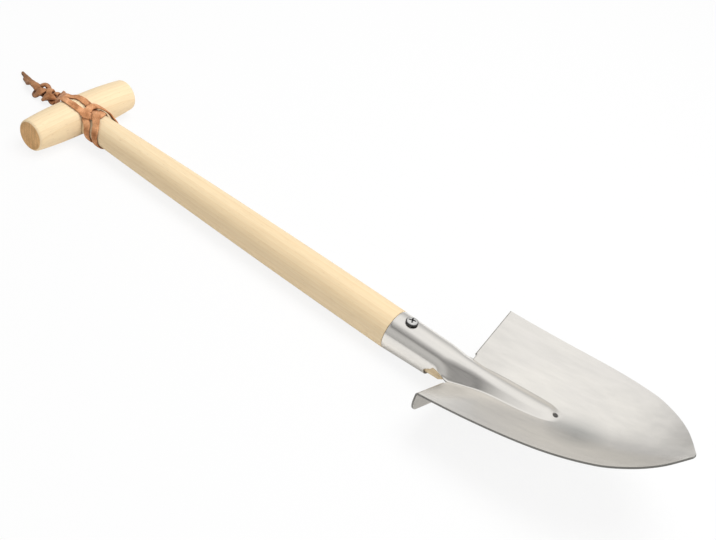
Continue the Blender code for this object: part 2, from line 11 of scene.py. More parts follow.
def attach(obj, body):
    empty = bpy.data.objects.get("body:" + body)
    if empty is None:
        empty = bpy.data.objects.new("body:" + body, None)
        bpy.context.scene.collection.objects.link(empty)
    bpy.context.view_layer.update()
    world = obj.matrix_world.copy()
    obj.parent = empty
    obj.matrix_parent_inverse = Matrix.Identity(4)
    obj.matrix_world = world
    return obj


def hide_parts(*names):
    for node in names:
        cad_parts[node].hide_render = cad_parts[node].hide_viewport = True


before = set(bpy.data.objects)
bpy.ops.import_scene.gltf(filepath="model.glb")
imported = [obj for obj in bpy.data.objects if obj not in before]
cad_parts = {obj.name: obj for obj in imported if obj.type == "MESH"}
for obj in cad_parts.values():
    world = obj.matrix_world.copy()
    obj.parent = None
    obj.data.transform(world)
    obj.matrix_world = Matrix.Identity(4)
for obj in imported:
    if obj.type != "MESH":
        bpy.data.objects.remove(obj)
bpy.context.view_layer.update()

# Sizes that the looks share with the CAD, in metres and radians
GRIP_LENGTH, GRIP_MID_RADIUS, GRIP_END_RADIUS, GRIP_TAPER_POWER = 0.0912, 0.0137, 0.0115, 2.5
SHAFT_TO_RIM, SHAFT_GRIP_RADIUS, SHAFT_MID_RADIUS, SHAFT_RIM_RADIUS = 0.2938, 0.0096, 0.01275, 0.01375
SHAFT_SEAT_DEPTH, SHAFT_INTO_SOCKET, SHAFT_END_CHAMFER = 0.0060, 0.0458, 0.0040
SHEET, SOCKET_LENGTH, SOCKET_SEAM = 0.0012, 0.0510, 0.0040
SOCKET_RIM_RADIUS, SOCKET_SHOULDER_RADIUS = 0.0137, 0.0123
NOTCH_START, NOTCH_BACK_SET = 0.0380, 0.0055
NOTCH_ANGLE, NOTCH_ROUNDS_OVER = math.radians(77), math.radians(26)
BLADE_LENGTH, TIP_SLOPE_OVER = 0.1452, 0.02
BLADE_HALF_WIDTHS = (
    (0.0, 0.0530), (0.24, 0.0505), (0.5, 0.0465), (0.73, 0.0381),
    (0.84, 0.0289), (0.92, 0.0183), (1.0, 0.0015),
)
BLADE_EDGE_HEIGHT, BLADE_EDGE_LIFT, BLADE_EDGE_CURVE = 0.0209, 0.0148, 0.0156
BLADE_VALLEY_HEIGHTS = (
    (0.0, -0.0018), (0.16, 0.0069), (0.33, 0.0116),
    (0.46, 0.0157), (0.68, 0.0254), (0.85, 0.0370),
)
VALLEY_ROUNDING = (0.08, 0.45)
RIDGE_LENGTH, RIDGE_NOSE_FROM, RIDGE_ROUNDING, RIDGE_WIDEST = 0.0700, 0.84, (0.5, 0.1), 0.5
RIDGE_CREST_RISES = (
    (0.0, 0.0), (0.17, 0.0002), (0.34, 0.0007), (0.52, 0.0016),
    (0.69, 0.0028), (0.86, 0.0042), (1.0, 0.0050),
)
RIDGE_HALF_WIDTHS = (
    (0.0, 0.0150), (0.17, 0.0120), (0.34, 0.0108), (0.6, 0.0099),
    (0.77, 0.0090), (0.86, 0.0080), (0.94, 0.0060), (1.0, 0.0035),
)
TREAD_DEPTH, TREAD_BEND, TREAD_PLANE_SLOPE = 0.0125, 0.0015, 0.1
TREAD_OUTER_CORNER, TREAD_INNER_CORNER, TREAD_FROM_SOCKET = 0.0080, 0.0070, 0.0050
SCREW_FROM_RIM, SCREW_HEAD_RADIUS, SCREW_HEAD_HEIGHT = 0.0100, 0.0042, 0.0022
SCREW_CROSS_SPAN, SCREW_CROSS_WIDTH, SCREW_CROSS_DEPTH = 0.0046, 0.0010, 0.0011
SCREW_HEAD_SIDE, SCREW_SHANK_RADIUS, SCREW_LENGTH = 0.0007, 0.0019, 0.0160
SCREW_CROSS_TURN = math.radians(25)
LACE_RADIUS, KNOT_HALF_RISE = 0.0012, 0.0028
KNOT_FROM, KNOT_TO = math.radians(40), math.radians(320)
CLEARANCE = 0.0003

# What follows from them
SHOULDER_X = SHAFT_TO_RIM + SOCKET_LENGTH
TIP_X = SHOULDER_X + BLADE_LENGTH
SCREW_X = SHAFT_TO_RIM + SCREW_FROM_RIM
TIP_HEIGHT = BLADE_EDGE_HEIGHT + BLADE_EDGE_LIFT + BLADE_EDGE_CURVE
REST_PITCH = math.asin((max(SHAFT_RIM_RADIUS, SOCKET_RIM_RADIUS) - GRIP_MID_RADIUS) / SHAFT_TO_RIM)
STRAND_GAP_DEGREES = math.degrees(CLEARANCE / (GRIP_MID_RADIUS + CLEARANCE + LACE_RADIUS))

# Sizes of the looks alone: softer ends, broken edges, the pocket in the ridge's nose and a painted dark
# reflection on the near wing
GRIP_EDGE_ROUNDING, EDGE_BREAK, SHAFT_FOOT_BREAK, SCREW_EDGE_BREAK = 0.0021, 0.00022, 0.0004, 0.0002
CHAMFER_KNEE_ALONG, CHAMFER_KNEE_IN, SCREW_CROSS_FLOOR, CAP_ENDS_AT = 0.3, 0.4, 0.45, 0.96
DIMPLE_FROM_SHOULDER, DIMPLE_TO_SIDE, DIMPLE_RADIUS = 0.0657, 0.0006, 0.0030
DIMPLE_DEPTH, DIMPLE_HOLLOW = 0.0007, 0.0022
# The sizes on the next line place a painted dark reflection on the blade's near wing
PAINTED_REFLECTION_FROM_SHOULDER, PAINTED_REFLECTION_TO_SIDE, PAINTED_REFLECTION_RADIUS = 0.0830, -0.0080, 0.0200
SHARP_FROM, BROKEN_FROM, LACE_SHARP_FROM = math.radians(35), math.radians(50), math.radians(65)

# The lace as a flat strip, thicker and bunched in its knots
STRIP_WIDTH, STRIP_THICKNESS, STRIP_LIFT, STRIP_LAYER = 0.0056, 0.0016, 0.0009, 0.0019
KNOT_STRIP_WIDTH, KNOT_STRIP_THICKNESS, KNOT_FACES_FROM = 0.0053, 0.0028, 0.0100
TAIL_TAPERS_OVER, LACE_LIES_AT, STRIP_STEP = 0.014, 0.0001, 0.0009
STRIP_SQUARENESS, STRIP_FLATNESS, STRIP_HOLLOW = 0.5, 0.65, 0.12
STRIP_WAVERS = ((0.05, 610, 1.3), (0.03, 1470, 0.0))
OFF_GRIP_FROM, OFF_GRIP_OVER = 0.006, 0.008

# How finely the pieces are drawn, and how close two points count as one
CAP_STEPS, WRAP_STEPS, WING_STEPS, ROUND_STEPS = 28, 28, 44, 9
SOCKET_ROWS, CAP_ROWS, RIDGE_ROWS, NOSE_ROWS = 25, 14, 72, 50
GRIP_STEPS, SHAFT_STEPS, FITTED_STEPS, DOME_STEPS = 40, 80, 12, 16
TURNED_SIDES, SCREW_SIDES, HOLE_SIDES, STRIP_SIDES = 96, 72, 64, 20
KNOT_STEPS, ROUTE_STEPS, EVENING_ROUNDS = 121, 12, 12
TINY, MIRROR_JOINS_WITHIN = 1e-6, 0.00001

# Round the shaft: millimetres along it, degrees round it, and layers of lace above the wood
WINDING = (
    (12.2, 6, 0.0), (15.2, 1, 0.0), (17.6, -5, 0.4), (20.4, -14, 1.05), (23.0, -26, 0.95),
    (25.2, -40, 0.25), (26.5, -54, 0.0), (27.6, -73, 0.0), (28.2, -90, 0.0), (28.5, -108, 0.0),
    (28.7, -132, 0.0), (28.8, -158, 0.0), (28.8, -184, 0.0), (28.8, -210, 0.0), (28.7, -236, 0.0),
    (28.3, -262, 0.0), (26.8, -283, 0.05), (24.0, -296, 0.4), (21.2, -306, 0.9), (18.2, -315, 1.15),
    (15.4, -326, 1.2), (13.2, -338, 1.25), (12.0, -350, 1.25), (11.7, -362, 1.2), (12.2, -374, 0.85),
    (12.5, -384, 0.3), (12.9, -393, 0.0), (14.0, -403, 0.0), (16.6, -413, 0.0), (18.9, -426, 0.0),
    (19.8, -442, 0.0), (20.2, -460, 0.0), (20.4, -482, 0.0), (20.1, -508, 0.0), (19.2, -536, 0.0),
    (18.0, -564, 0.0), (17.0, -592, 0.0), (16.3, -618, 0.0), (15.9, -642, 0.0), (16.0, -662, 0.0),
    (17.0, -680, 0.0), (18.9, -697, 0.0), (20.6, -711, 0.0), (21.2, -724, 0.0), (20.4, -736, 0.0),
    (18.2, -745, 0.05), (15.7, -751, 0.6), (13.0, -754, 1.05), (10.4, -752, 1.0),
)

# Points of two numbers lie on the grip as millimetres and degrees, points of three in millimetres
STRANDS_MEET_AT = 24
WINDING_STARTS, WINDING_ENDS = ((0.6, STRANDS_MEET_AT), (1.3, 34)), (-9.0, STRANDS_MEET_AT)
UPPER_STRAND = (
    (0.55, STRANDS_MEET_AT - STRAND_GAP_DEGREES), (0.1, 12), (-0.5, 0), (-1.5, -12), (-2.9, -24),
    (-9.4, -4.0, 12.8), (-14.9, -1.9, 9.0), (-21.5, 2.6, 4.6), (-27.2, 7.4, 0.0), (-30.2, 10.4, -3.9),
)
LOWER_STRAND = (
    (-9.0, STRANDS_MEET_AT - STRAND_GAP_DEGREES), (-9.6, 12), (-10.0, 0), (-9.8, -12), (-8.9, -24),
    (-9.4, -7.8, 12.2), (-14.6, -5.1, 8.0), (-21.0, -1.2, 3.2), (-25.6, 2.4, -2.2), (-28.6, 5.2, -8.0),
)

# Tails as millimetres along, across and above where they lie, and knots as knot_route takes them
TAILS_LIE_AT = -0.07
LONG_TAIL = ((-79.5, 14.7, 0.0), (-72.0, 12.9, 0.0), (-64.5, 11.6, 0.0))
SHORT_TAIL = ((-72.6, 10.8, 0.0), (-67.6, 9.2, 0.4), (-63.6, 7.3, 2.2))
NEAR_KNOT = ((-38.9, 8.8), 10, 0.0021, 0.0020, 0.0022)
FAR_KNOT = ((-51.0, 8.1), 172, 0.0024, 0.00195, 0.0030)

# Colours, and the patterns' scales along the grain
WOOD_PALE, WOOD_MID, WOOD_RING = (0.925, 0.755, 0.505), (0.91, 0.73, 0.475), (0.885, 0.69, 0.43)
WOOD_FLECK, WOOD_END = (0.66, 0.46, 0.26), (0.80, 0.48, 0.205)
WOOD_DRIFT, WOOD_FIBRE = (0.93, 0.90, 0.86), (0.955, 0.94, 0.92)
WOOD_PORE, WOOD_YEAR, YEARS_ACROSS = (0.74, 0.69, 0.62), (0.80, 0.77, 0.72), (3.0, 3.0, 0.6)
SHAFT_PITH, GRIP_PITH, FLECK_SHIFT = (0.0, 0.021, 0.012), (0.016, 0.0, 0.010), (0.3, 0.1, 0.7)
FIBRE_DRAWN, FLECK_DRAWN, SCRATCH_DRAWN, STREAK_DRAWN, CLOUD_DRAWN = 0.06, 0.16, 0.03, 0.09, 0.6
STEEL_DULL, STEEL_BRIGHT = (0.79, 0.765, 0.725), (0.86, 0.83, 0.785)
# The third colour on the next line is a painted dark reflection on the near wing
STEEL_SMEARED, STEEL_CLEAR, STEEL_PAINTED_REFLECTION = (0.96, 0.96, 0.965), (1.02, 1.02, 1.01), (0.66, 0.68, 0.69)
# Painted shade, near black, in the blade's pocket and in the screw's cross
STEEL_POCKET_SHADE, SCREW_SLOT_SHADE = (0.07, 0.066, 0.062), (0.05, 0.05, 0.05)
EDGE_DARK, EDGE_PALE = (0.20, 0.195, 0.18), (0.36, 0.35, 0.33)
SCREW_DULL, SCREW_BRIGHT = (0.62, 0.61, 0.59), (0.82, 0.81, 0.79)
LEATHER_DARK, LEATHER_MID, LEATHER_PALE = (0.35, 0.138, 0.052), (0.65, 0.31, 0.148), (0.88, 0.475, 0.25)
# The middle colour on the next line is painted shade for the lace's creases
LEATHER_NAP, LEATHER_CREASE_SHADE, LEATHER_TIP = (0.70, 0.66, 0.62), (0.34, 0.26, 0.20), (0.16, 0.085, 0.045)
TIP_DARKENS_FROM, TIP_DARKENS_PER_M, TIP_DARKENS_TO, CREASE_SHADE_REACH = -0.262, 16.0, 0.8, 0.004

# The photograph's camera, fitted to the tool's outline in the tool's own frame
CAMERA_TARGET, CAMERA_DISTANCE = (0.25518, 0.00346, 0.02261), 0.74425
CAMERA_AZIMUTH, CAMERA_ELEVATION = math.radians(28.43), math.radians(39.78)
CAMERA_ROLL = math.radians(14.68)
FOCAL_PIXELS, PHOTO_PIXELS, SENSOR_WIDTH = 1161.64, 716.0, 36.0
CAMERA_SEES_FROM, CAMERA_SEES_TO = 0.01, 20.0

# The studio: lamps as name, watts, size and place, and its brightness by height as metal sees it
LAMPS = (
    ("overhead_softbox", 12.0, (1.0, 0.8), (0.10, 0.28, 1.25)),
    ("side_softbox", 4.2, (0.8, 0.8), (1.25, -0.15, 0.65)),
)
FLOOR_REACH, FLOOR_DROP, FLOOR_PAINT, FLOOR_TO_CAMERA, FLOOR_IN_METAL = 3.0, 0.0002, 0.86, 0.86, 0.18
SKY_LIGHT = 0.45
DIM_SIDE_SLOPE, DIM_SIDE_START = -3.4, -0.14
DIM_SIDE = (
    (0.0, 0.22), (0.06, 0.44), (0.30, 0.58), (0.64, 0.60),
    (0.74, 0.12), (0.81, 0.44), (0.90, 0.54), (0.96, 1.0),
)
BRIGHT_SIDE = ((0.0, 0.62), (0.10, 0.60), (0.36, 0.66), (0.60, 0.88), (0.82, 1.0))
HANDLE_SIDE = ((0.04, 0.16), (0.10, 1.0))


def monotone(stations, at):
    """A smooth value through (place, value) stations that never overshoots between two of them."""
    x = np.array([s[0] for s in stations])
    y = np.array([s[1] for s in stations])
    step = np.diff(x)
    slope = np.diff(y) / step
    tangent = np.zeros(len(x))
    tangent[0], tangent[-1] = slope[0], slope[-1]
    for i in range(1, len(x) - 1):
        if slope[i - 1] * slope[i] > 0:
            a = 2 * step[i] + step[i - 1]
            b = step[i] + 2 * step[i - 1]
            tangent[i] = (a + b) / (a / slope[i - 1] + b / slope[i])
    at = min(max(at, x[0]), x[-1])
    i = min(int(np.searchsorted(x, at, side="right")) - 1, len(step) - 1)
    t = (at - x[i]) / step[i]
    return float(
        y[i] * (1 + 2 * t) * (1 - t) ** 2
        + tangent[i] * step[i] * t * (1 - t) ** 2
        + y[i + 1] * t * t * (3 - 2 * t)
        + tangent[i + 1] * step[i] * t * t * (t - 1)
    )


def blade_half_width(s):
    return monotone(BLADE_HALF_WIDTHS, s)


def valley_height(s):
    return monotone((*BLADE_VALLEY_HEIGHTS, (1.0, TIP_HEIGHT)), s)


def dish(s, y):
    """Height of the blade's face at a share s of its length from the shoulder, y off the middle."""
    edge = BLADE_EDGE_HEIGHT + BLADE_EDGE_LIFT * s + BLADE_EDGE_CURVE * s * s
    valley = valley_height(s)
    e = VALLEY_ROUNDING[0] + (VALLEY_ROUNDING[1] - VALLEY_ROUNDING[0]) * s
    t = min(abs(y) / blade_half_width(s), 1.0)
    rise = (math.hypot(t, e) - e) / (math.hypot(1.0, e) - e)
    return valley + (edge - valley) * rise


tip_rise = TIP_HEIGHT - valley_height(1 - TIP_SLOPE_OVER)
tip_slope = math.atan(tip_rise / (TIP_SLOPE_OVER * BLADE_LENGTH)) + REST_PITCH
tip_reach = TIP_X * math.cos(REST_PITCH) - TIP_HEIGHT * math.sin(REST_PITCH) + SHEET * math.sin(tip_slope)
on_ground = Matrix.Translation(((GRIP_MID_RADIUS - tip_reach) / 2, 0.0, GRIP_MID_RADIUS))
TOOL = on_ground @ Matrix.Rotation(-REST_PITCH, 4, "Y")


def place_camera():
    level = math.cos(CAMERA_ELEVATION)
    back = Vector(
        (math.sin(CAMERA_AZIMUTH) * level, -math.cos(CAMERA_AZIMUTH) * level, math.sin(CAMERA_ELEVATION))
    )
    right = (-back).cross(Vector((0, 0, 1))).normalized()
    up = back.cross(right)
    cos_roll, sin_roll = math.cos(CAMERA_ROLL), math.sin(CAMERA_ROLL)
    right, up = right * cos_roll + up * sin_roll, up * cos_roll - right * sin_roll
    data = bpy.data.cameras.new("photo_camera")
    data.sensor_width = SENSOR_WIDTH
    data.lens = FOCAL_PIXELS * SENSOR_WIDTH / PHOTO_PIXELS
    data.clip_start, data.clip_end = CAMERA_SEES_FROM, CAMERA_SEES_TO
    camera = bpy.data.objects.new("photo_camera", data)
    bpy.context.scene.collection.objects.link(camera)
    turn = Matrix((right, up, back)).transposed().to_4x4()
    place_at = Vector(CAMERA_TARGET) + back * CAMERA_DISTANCE
    camera.matrix_world = TOOL @ Matrix.Translation(place_at) @ turn
    bpy.context.scene.camera = camera


def shaft_radius(x):
    """The shaft swells in a curve through its radii at the grip, halfway and at the socket's rim."""
    q = min(max(x / SHAFT_TO_RIM, 0.0), 1.0)
    square = 2 * (SHAFT_GRIP_RADIUS - 2 * SHAFT_MID_RADIUS + SHAFT_RIM_RADIUS)
    straight = SHAFT_RIM_RADIUS - SHAFT_GRIP_RADIUS - square
    return SHAFT_GRIP_RADIUS + straight * q + square * q * q


def socket_radius(x):
    """The socket narrows evenly from its rim to the blade's shoulder."""
    share = (x - SHAFT_TO_RIM) / SOCKET_LENGTH
    return SOCKET_RIM_RADIUS + (SOCKET_SHOULDER_RADIUS - SOCKET_RIM_RADIUS) * share


def socket_lean(x):
    """How far the socket's middle stands above the shaft's axis, because its top line runs level."""
    return SOCKET_RIM_RADIUS - socket_radius(x)


def fitted_radius(x):
    """The shaft's end inside the socket."""
    return socket_radius(x) - SHEET - CLEARANCE


def grip_radius(y):
    """The grip is a barrel, thickest in its middle."""
    q = min(abs(y) / (GRIP_LENGTH / 2), 1.0)
    return GRIP_MID_RADIUS - (GRIP_MID_RADIUS - GRIP_END_RADIUS) * q**GRIP_TAPER_POWER


def smooth_route(points):
    """Points one strip step apart on a centripetal curve through the chosen ones."""
    p = [Vector(q) for q in points]
    p = [2 * p[0] - p[1]] + p + [2 * p[-1] - p[-2]]
    fine = []
    for i in range(1, len(p) - 2):
        a, b, c, d = p[i - 1 : i + 3]
        t0 = 0.0
        t1 = t0 + max((b - a).length, TINY) ** 0.5
        t2 = t1 + max((c - b).length, TINY) ** 0.5
        t3 = t2 + max((d - c).length, TINY) ** 0.5
        for t in np.linspace(t1, t2, ROUTE_STEPS, endpoint=False):
            e = a * ((t1 - t) / (t1 - t0)) + b * ((t - t0) / (t1 - t0))
            f = b * ((t2 - t) / (t2 - t1)) + c * ((t - t1) / (t2 - t1))
            g = c * ((t3 - t) / (t3 - t2)) + d * ((t - t2) / (t3 - t2))
            h = e * ((t2 - t) / (t2 - t0)) + f * ((t - t0) / (t2 - t0))
            k = f * ((t3 - t) / (t3 - t1)) + g * ((t - t1) / (t3 - t1))
            fine.append(h * ((t2 - t) / (t2 - t1)) + k * ((t - t1) / (t2 - t1)))
    fine.append(p[-2])
    line = np.array(fine)
    along = distances_along(line)
    at = np.linspace(0.0, along[-1], max(2, round(along[-1] / STRIP_STEP) + 1))
    return np.stack([np.interp(at, along, line[:, k]) for k in range(3)], axis=1)


def distances_along(line):
    return np.concatenate([[0.0], np.cumsum(np.linalg.norm(np.diff(line, axis=0), axis=1))])


def on_shaft(x_mm, degrees, layer):
    """A point of the lace round the shaft, in the tool's frame."""
    x = x_mm / 1000
    radius = shaft_radius(x) + STRIP_LIFT + layer * STRIP_LAYER
    angle = math.radians(degrees)
    return x, radius * math.sin(angle), radius * math.cos(angle)


def on_grip(y_mm, degrees):
    """A point of the lace over the grip, in the tool's frame."""
    y = y_mm / 1000
    radius = grip_radius(y) + STRIP_LIFT
    angle = math.radians(degrees)
    return radius * math.sin(angle), y, radius * math.cos(angle)


def ground_height(x):
    """The ground's height in the tool's frame."""
    return -(GRIP_MID_RADIUS + x * math.sin(REST_PITCH)) / math.cos(REST_PITCH)


def mm(*place):
    return tuple(value / 1000 for value in place)


def off_grip(points):
    return [on_grip(*point) if len(point) == 2 else mm(*point) for point in points]


def along_ground(points):
    flat = 1000 * (ground_height(TAILS_LIE_AT) + CLEARANCE + LACE_RADIUS)
    return [mm(x, y, flat + lift) for x, y, lift in points]


def knot_route(centre_mm, degrees, stretch, width, lead):
    """An open overhand loop that lies on the ground, and the way out along which both its ends lead."""
    angle = math.radians(degrees)
    out = np.array([math.cos(angle), math.sin(angle), 0.0])
    side = np.array([-out[1], out[0], 0.0])
    up = np.array([0.0, 0.0, 1.0])
    x, y = mm(*centre_mm)
    centre = np.array([x, y, ground_height(x) + CLEARANCE + LACE_RADIUS + KNOT_HALF_RISE])
    points = []
    for turn in np.linspace(KNOT_FROM, KNOT_TO, KNOT_STEPS):
        along = stretch * (math.cos(turn) + 2 * math.cos(2 * turn))
        across = width * (2 * math.sin(2 * turn) - math.sin(turn))
        points.append(centre + along * out + across * side + KNOT_HALF_RISE * math.sin(3 * turn) * up)
    return np.array([points[0] + lead * out, *points, points[-1] + lead * out]), out


def to_knot(points, knot_end, out):
    """A route that ends a little before the knot, straight in line with its lead."""
    last = [tuple(knot_end + (CLEARANCE + 2 * LACE_RADIUS) * out), tuple(knot_end + CLEARANCE * out)]
    return smooth_route(points + last)


def lace_routes():
    """The lace's centrelines in the tool's frame. They follow the CAD's tubes, but closer to the wood."""
    winding = [on_grip(*point) for point in WINDING_STARTS]
    winding += [on_shaft(*point) for point in WINDING]
    winding.append(on_grip(*WINDING_ENDS))
    near_line, near_out = knot_route(*NEAR_KNOT)
    far_line, far_out = knot_route(*FAR_KNOT)
    return {
        "lace_winding": smooth_route(winding),
        "lace_knot_near": near_line,
        "lace_knot_far": far_line,
        "lace_strand_upper": to_knot(off_grip(UPPER_STRAND), near_line[0], near_out),
        "lace_strand_lower": to_knot(off_grip(LOWER_STRAND), near_line[-1], near_out),
        "lace_tail_long": to_knot(along_ground(LONG_TAIL), far_line[-1], far_out),
        "lace_tail_short": to_knot(along_ground(SHORT_TAIL), far_line[0], far_out),
    }


def new_object(name, mesh, *mats):
    obj = bpy.data.objects.new(name, mesh)
    bpy.context.scene.collection.objects.link(obj)
    for mat in mats:
        mesh.materials.append(mat)
    return obj


def apply_modifiers(obj):
    """Applies the modifiers, then shades the piece smooth between its real edges."""
    bpy.context.view_layer.update()
    graph = bpy.context.evaluated_depsgraph_get()
    mesh = bpy.data.meshes.new_from_object(obj.evaluated_get(graph))
    obj.modifiers.clear()
    obj.data = mesh
    mesh.shade_smooth()
    mesh.set_sharp_from_angle(angle=SHARP_FROM)


def closed_mesh(name, verts, faces, join):
    """A mesh with its faces turned outwards, moved from the tool's frame to where the tool lies."""
    mesh = bpy.data.meshes.new(name)
    mesh.from_pydata(verts, [], faces)
    bm = bmesh.new()
    bm.from_mesh(mesh)
    if join:
        bmesh.ops.remove_doubles(bm, verts=bm.verts, dist=TINY)
    bmesh.ops.recalc_face_normals(bm, faces=bm.faces)
    bm.to_mesh(mesh)
    bm.free()
    mesh.transform(TOOL)
    return mesh


def tube_faces(rings, sides):
    """The faces between rings of points that follow one another."""
    faces = []
    for i in range(rings - 1):
        for k in range(sides):
            a, b = i * sides + k, i * sides + (k + 1) % sides
            faces.append((a, b, b + sides, a + sides))
    return faces


def lathe(name, profile, axis, mat, sides=TURNED_SIDES):
    """A solid turned about an axis of the tool's frame from (place, radius) pairs, low end first."""
    verts = []
    for place, radius in profile:
        for turn in np.linspace(0.0, 2 * math.pi, sides, endpoint=False):
            point = [radius * math.cos(turn), radius * math.sin(turn)]
            point.insert("XYZ".index(axis), place)
            verts.append(point)
    return new_object(name, closed_mesh(name, verts, tube_faces(len(profile), sides), join=True), mat)


def plain_shape(create, **sizes):
    """One of bmesh's own shapes as a mesh round the origin."""
    mesh = bpy.data.meshes.new("cutter")
    bm = bmesh.new()
    create(bm, **sizes)
    bm.to_mesh(mesh)
    bm.free()
    return mesh


def cut_round(obj, radius, low, high, place, turn=Matrix()):
    """Cuts a round hole along the cutter's Z, between two heights from a place in the tool's frame."""
    sizes = {"radius1": radius, "radius2": radius, "depth": high - low}
    mesh = plain_shape(bmesh.ops.create_cone, cap_ends=True, segments=HOLE_SIDES, **sizes)
    mesh.transform(Matrix.Translation((0.0, 0.0, (low + high) / 2)))
    mesh.transform(TOOL @ Matrix.Translation(place) @ turn)
    cut_with(obj, mesh)


def cut_with(obj, mesh):
    """Cuts a mesh out of a piece, and removes the cutter."""
    cutter = bpy.data.objects.new("cutter", mesh)
    bpy.context.scene.collection.objects.link(cutter)
    boolean = obj.modifiers.new("Cut", "BOOLEAN")
    boolean.operation = "DIFFERENCE"
    boolean.object = cutter
    apply_modifiers(obj)
    bpy.data.objects.remove(cutter, do_unlink=True)


def make_grip(mat):
    """A turned barrel with rounded ends and a blind hole for the shaft."""
    half = GRIP_LENGTH / 2
    round_from = half - GRIP_EDGE_ROUNDING
    corner_radius = grip_radius(round_from) - GRIP_EDGE_ROUNDING
    side = [(y, grip_radius(y)) for y in np.linspace(0.0, round_from, GRIP_STEPS)]
    for angle in np.linspace(0.0, math.pi / 2, ROUND_STEPS)[1:]:
        y = round_from + GRIP_EDGE_ROUNDING * math.sin(angle)
        side.append((y, corner_radius + GRIP_EDGE_ROUNDING * math.cos(angle)))
    side += [(half, corner_radius * share) for share in (0.8, 0.6, 0.4, 0.2, 0.0)]
    profile = [(-y, r) for y, r in reversed(side[1:])] + side
    grip = lathe("grip_turning", profile, "Y", mat)
    turn = Matrix.Rotation(math.pi / 2, 4, "Y")
    bore = shaft_radius(GRIP_MID_RADIUS) + CLEARANCE
    cut_round(grip, bore, -SHAFT_SEAT_DEPTH - CLEARANCE, 2 * GRIP_MID_RADIUS, (0.0, 0.0, 0.0), turn)
    return grip


def make_shaft(mat):
    """The turned shaft. Its end fits the socket and leans as the socket does."""
    end = SHAFT_TO_RIM + SHAFT_INTO_SOCKET
    foot = SHAFT_TO_RIM - CLEARANCE
    chamfer_from = end - SHAFT_END_CHAMFER
    profile = [(-SHAFT_SEAT_DEPTH, 0.0), (-SHAFT_SEAT_DEPTH, SHAFT_GRIP_RADIUS), (0.0, SHAFT_GRIP_RADIUS)]
    profile += [(x, shaft_radius(x)) for x in np.linspace(0.0, foot - SHAFT_FOOT_BREAK, SHAFT_STEPS)[1:]]
    profile += [(foot, shaft_radius(foot) - SHAFT_FOOT_BREAK), (foot, fitted_radius(SHAFT_TO_RIM))]
    profile += [(x, fitted_radius(x)) for x in np.linspace(SHAFT_TO_RIM, chamfer_from, FITTED_STEPS)]
    knee = SHAFT_END_CHAMFER * CHAMFER_KNEE_ALONG
    profile += [
        (end - knee, fitted_radius(end) - SHAFT_END_CHAMFER * CHAMFER_KNEE_IN),
        (end, fitted_radius(end) - SHAFT_END_CHAMFER),
        (end, 0.0),
    ]
    shaft = lathe("shaft_turning", profile, "X", mat)
    to_tool = TOOL.inverted()
    for vert in shaft.data.vertices:
        place = to_tool @ vert.co
        if place.x > SHAFT_TO_RIM:
            place.z += socket_lean(place.x)
            vert.co = TOOL @ place
    low = SOCKET_RIM_RADIUS - SCREW_LENGTH - CLEARANCE
    cut_round(shaft, SCREW_SHANK_RADIUS + CLEARANCE, low, 2 * SOCKET_RIM_RADIUS, (SCREW_X, 0.0, 0.0))
    return shaft


def smooth_share(value):
    """From 0 to 1 and level at both ends."""
    value = min(max(value, 0.0), 1.0)
    return value * value * (3 - 2 * value)


def rounded_slope(u):
    """A straight slope from 1 down to 0 with a round top and a round foot."""
    top, foot = RIDGE_ROUNDING
    steep = 1 / (1 - top / 2 - foot / 2)
    if u < top:
        return 1 - steep * u * u / 2 / top
    if u < 1 - foot:
        return 1 - steep * (u - top / 2)
    return steep * (1 - u) ** 2 / 2 / foot


def ridge_point(d, share):
    """Across the ridge at a distance d past the shoulder: share 0 is its crest and 1 its foot."""
    s = d / BLADE_LENGTH
    q = min(d / RIDGE_LENGTH, 1.0)
    foot_width = min(monotone(RIDGE_HALF_WIDTHS, q), RIDGE_WIDEST * blade_half_width(s))
    y = foot_width * share
    crest = SOCKET_RIM_RADIUS + monotone(RIDGE_CREST_RISES, q)
    foot = dish(s, foot_width)
    ridge = foot + (crest - foot) * rounded_slope(share)
    nose = smooth_share((q - RIDGE_NOSE_FROM) / (1 - RIDGE_NOSE_FROM))
    return y, ridge + (dish(s, y) - ridge) * nose


def tread_depth(along, length):
    """How far the folded tread reaches, at a distance along its fold from its outer end."""
    depth = TREAD_DEPTH
    for corner, from_end in ((TREAD_OUTER_CORNER, along), (TREAD_INNER_CORNER, length - along)):
        if from_end < corner:
            depth -= corner - math.sqrt(corner**2 - (corner - from_end) ** 2)
    return depth


class HalfSheet:
    """The pressing's upper face on the +Y side, grown one row of points at a time."""

    def __init__(self):
        self.verts = []
        self.faces = []

    def add(self, x, y, z):
        self.verts.append((x, max(y, 0.0), z))
        return len(self.verts) - 1

    def add_round(self, x, angle):
        radius = socket_radius(x)
        return self.add(x, radius * math.sin(angle), socket_lean(x) + radius * math.cos(angle))

    def join(self, first, second):
        self.faces += zip(first[:-1], second[:-1], second[1:], first[1:])


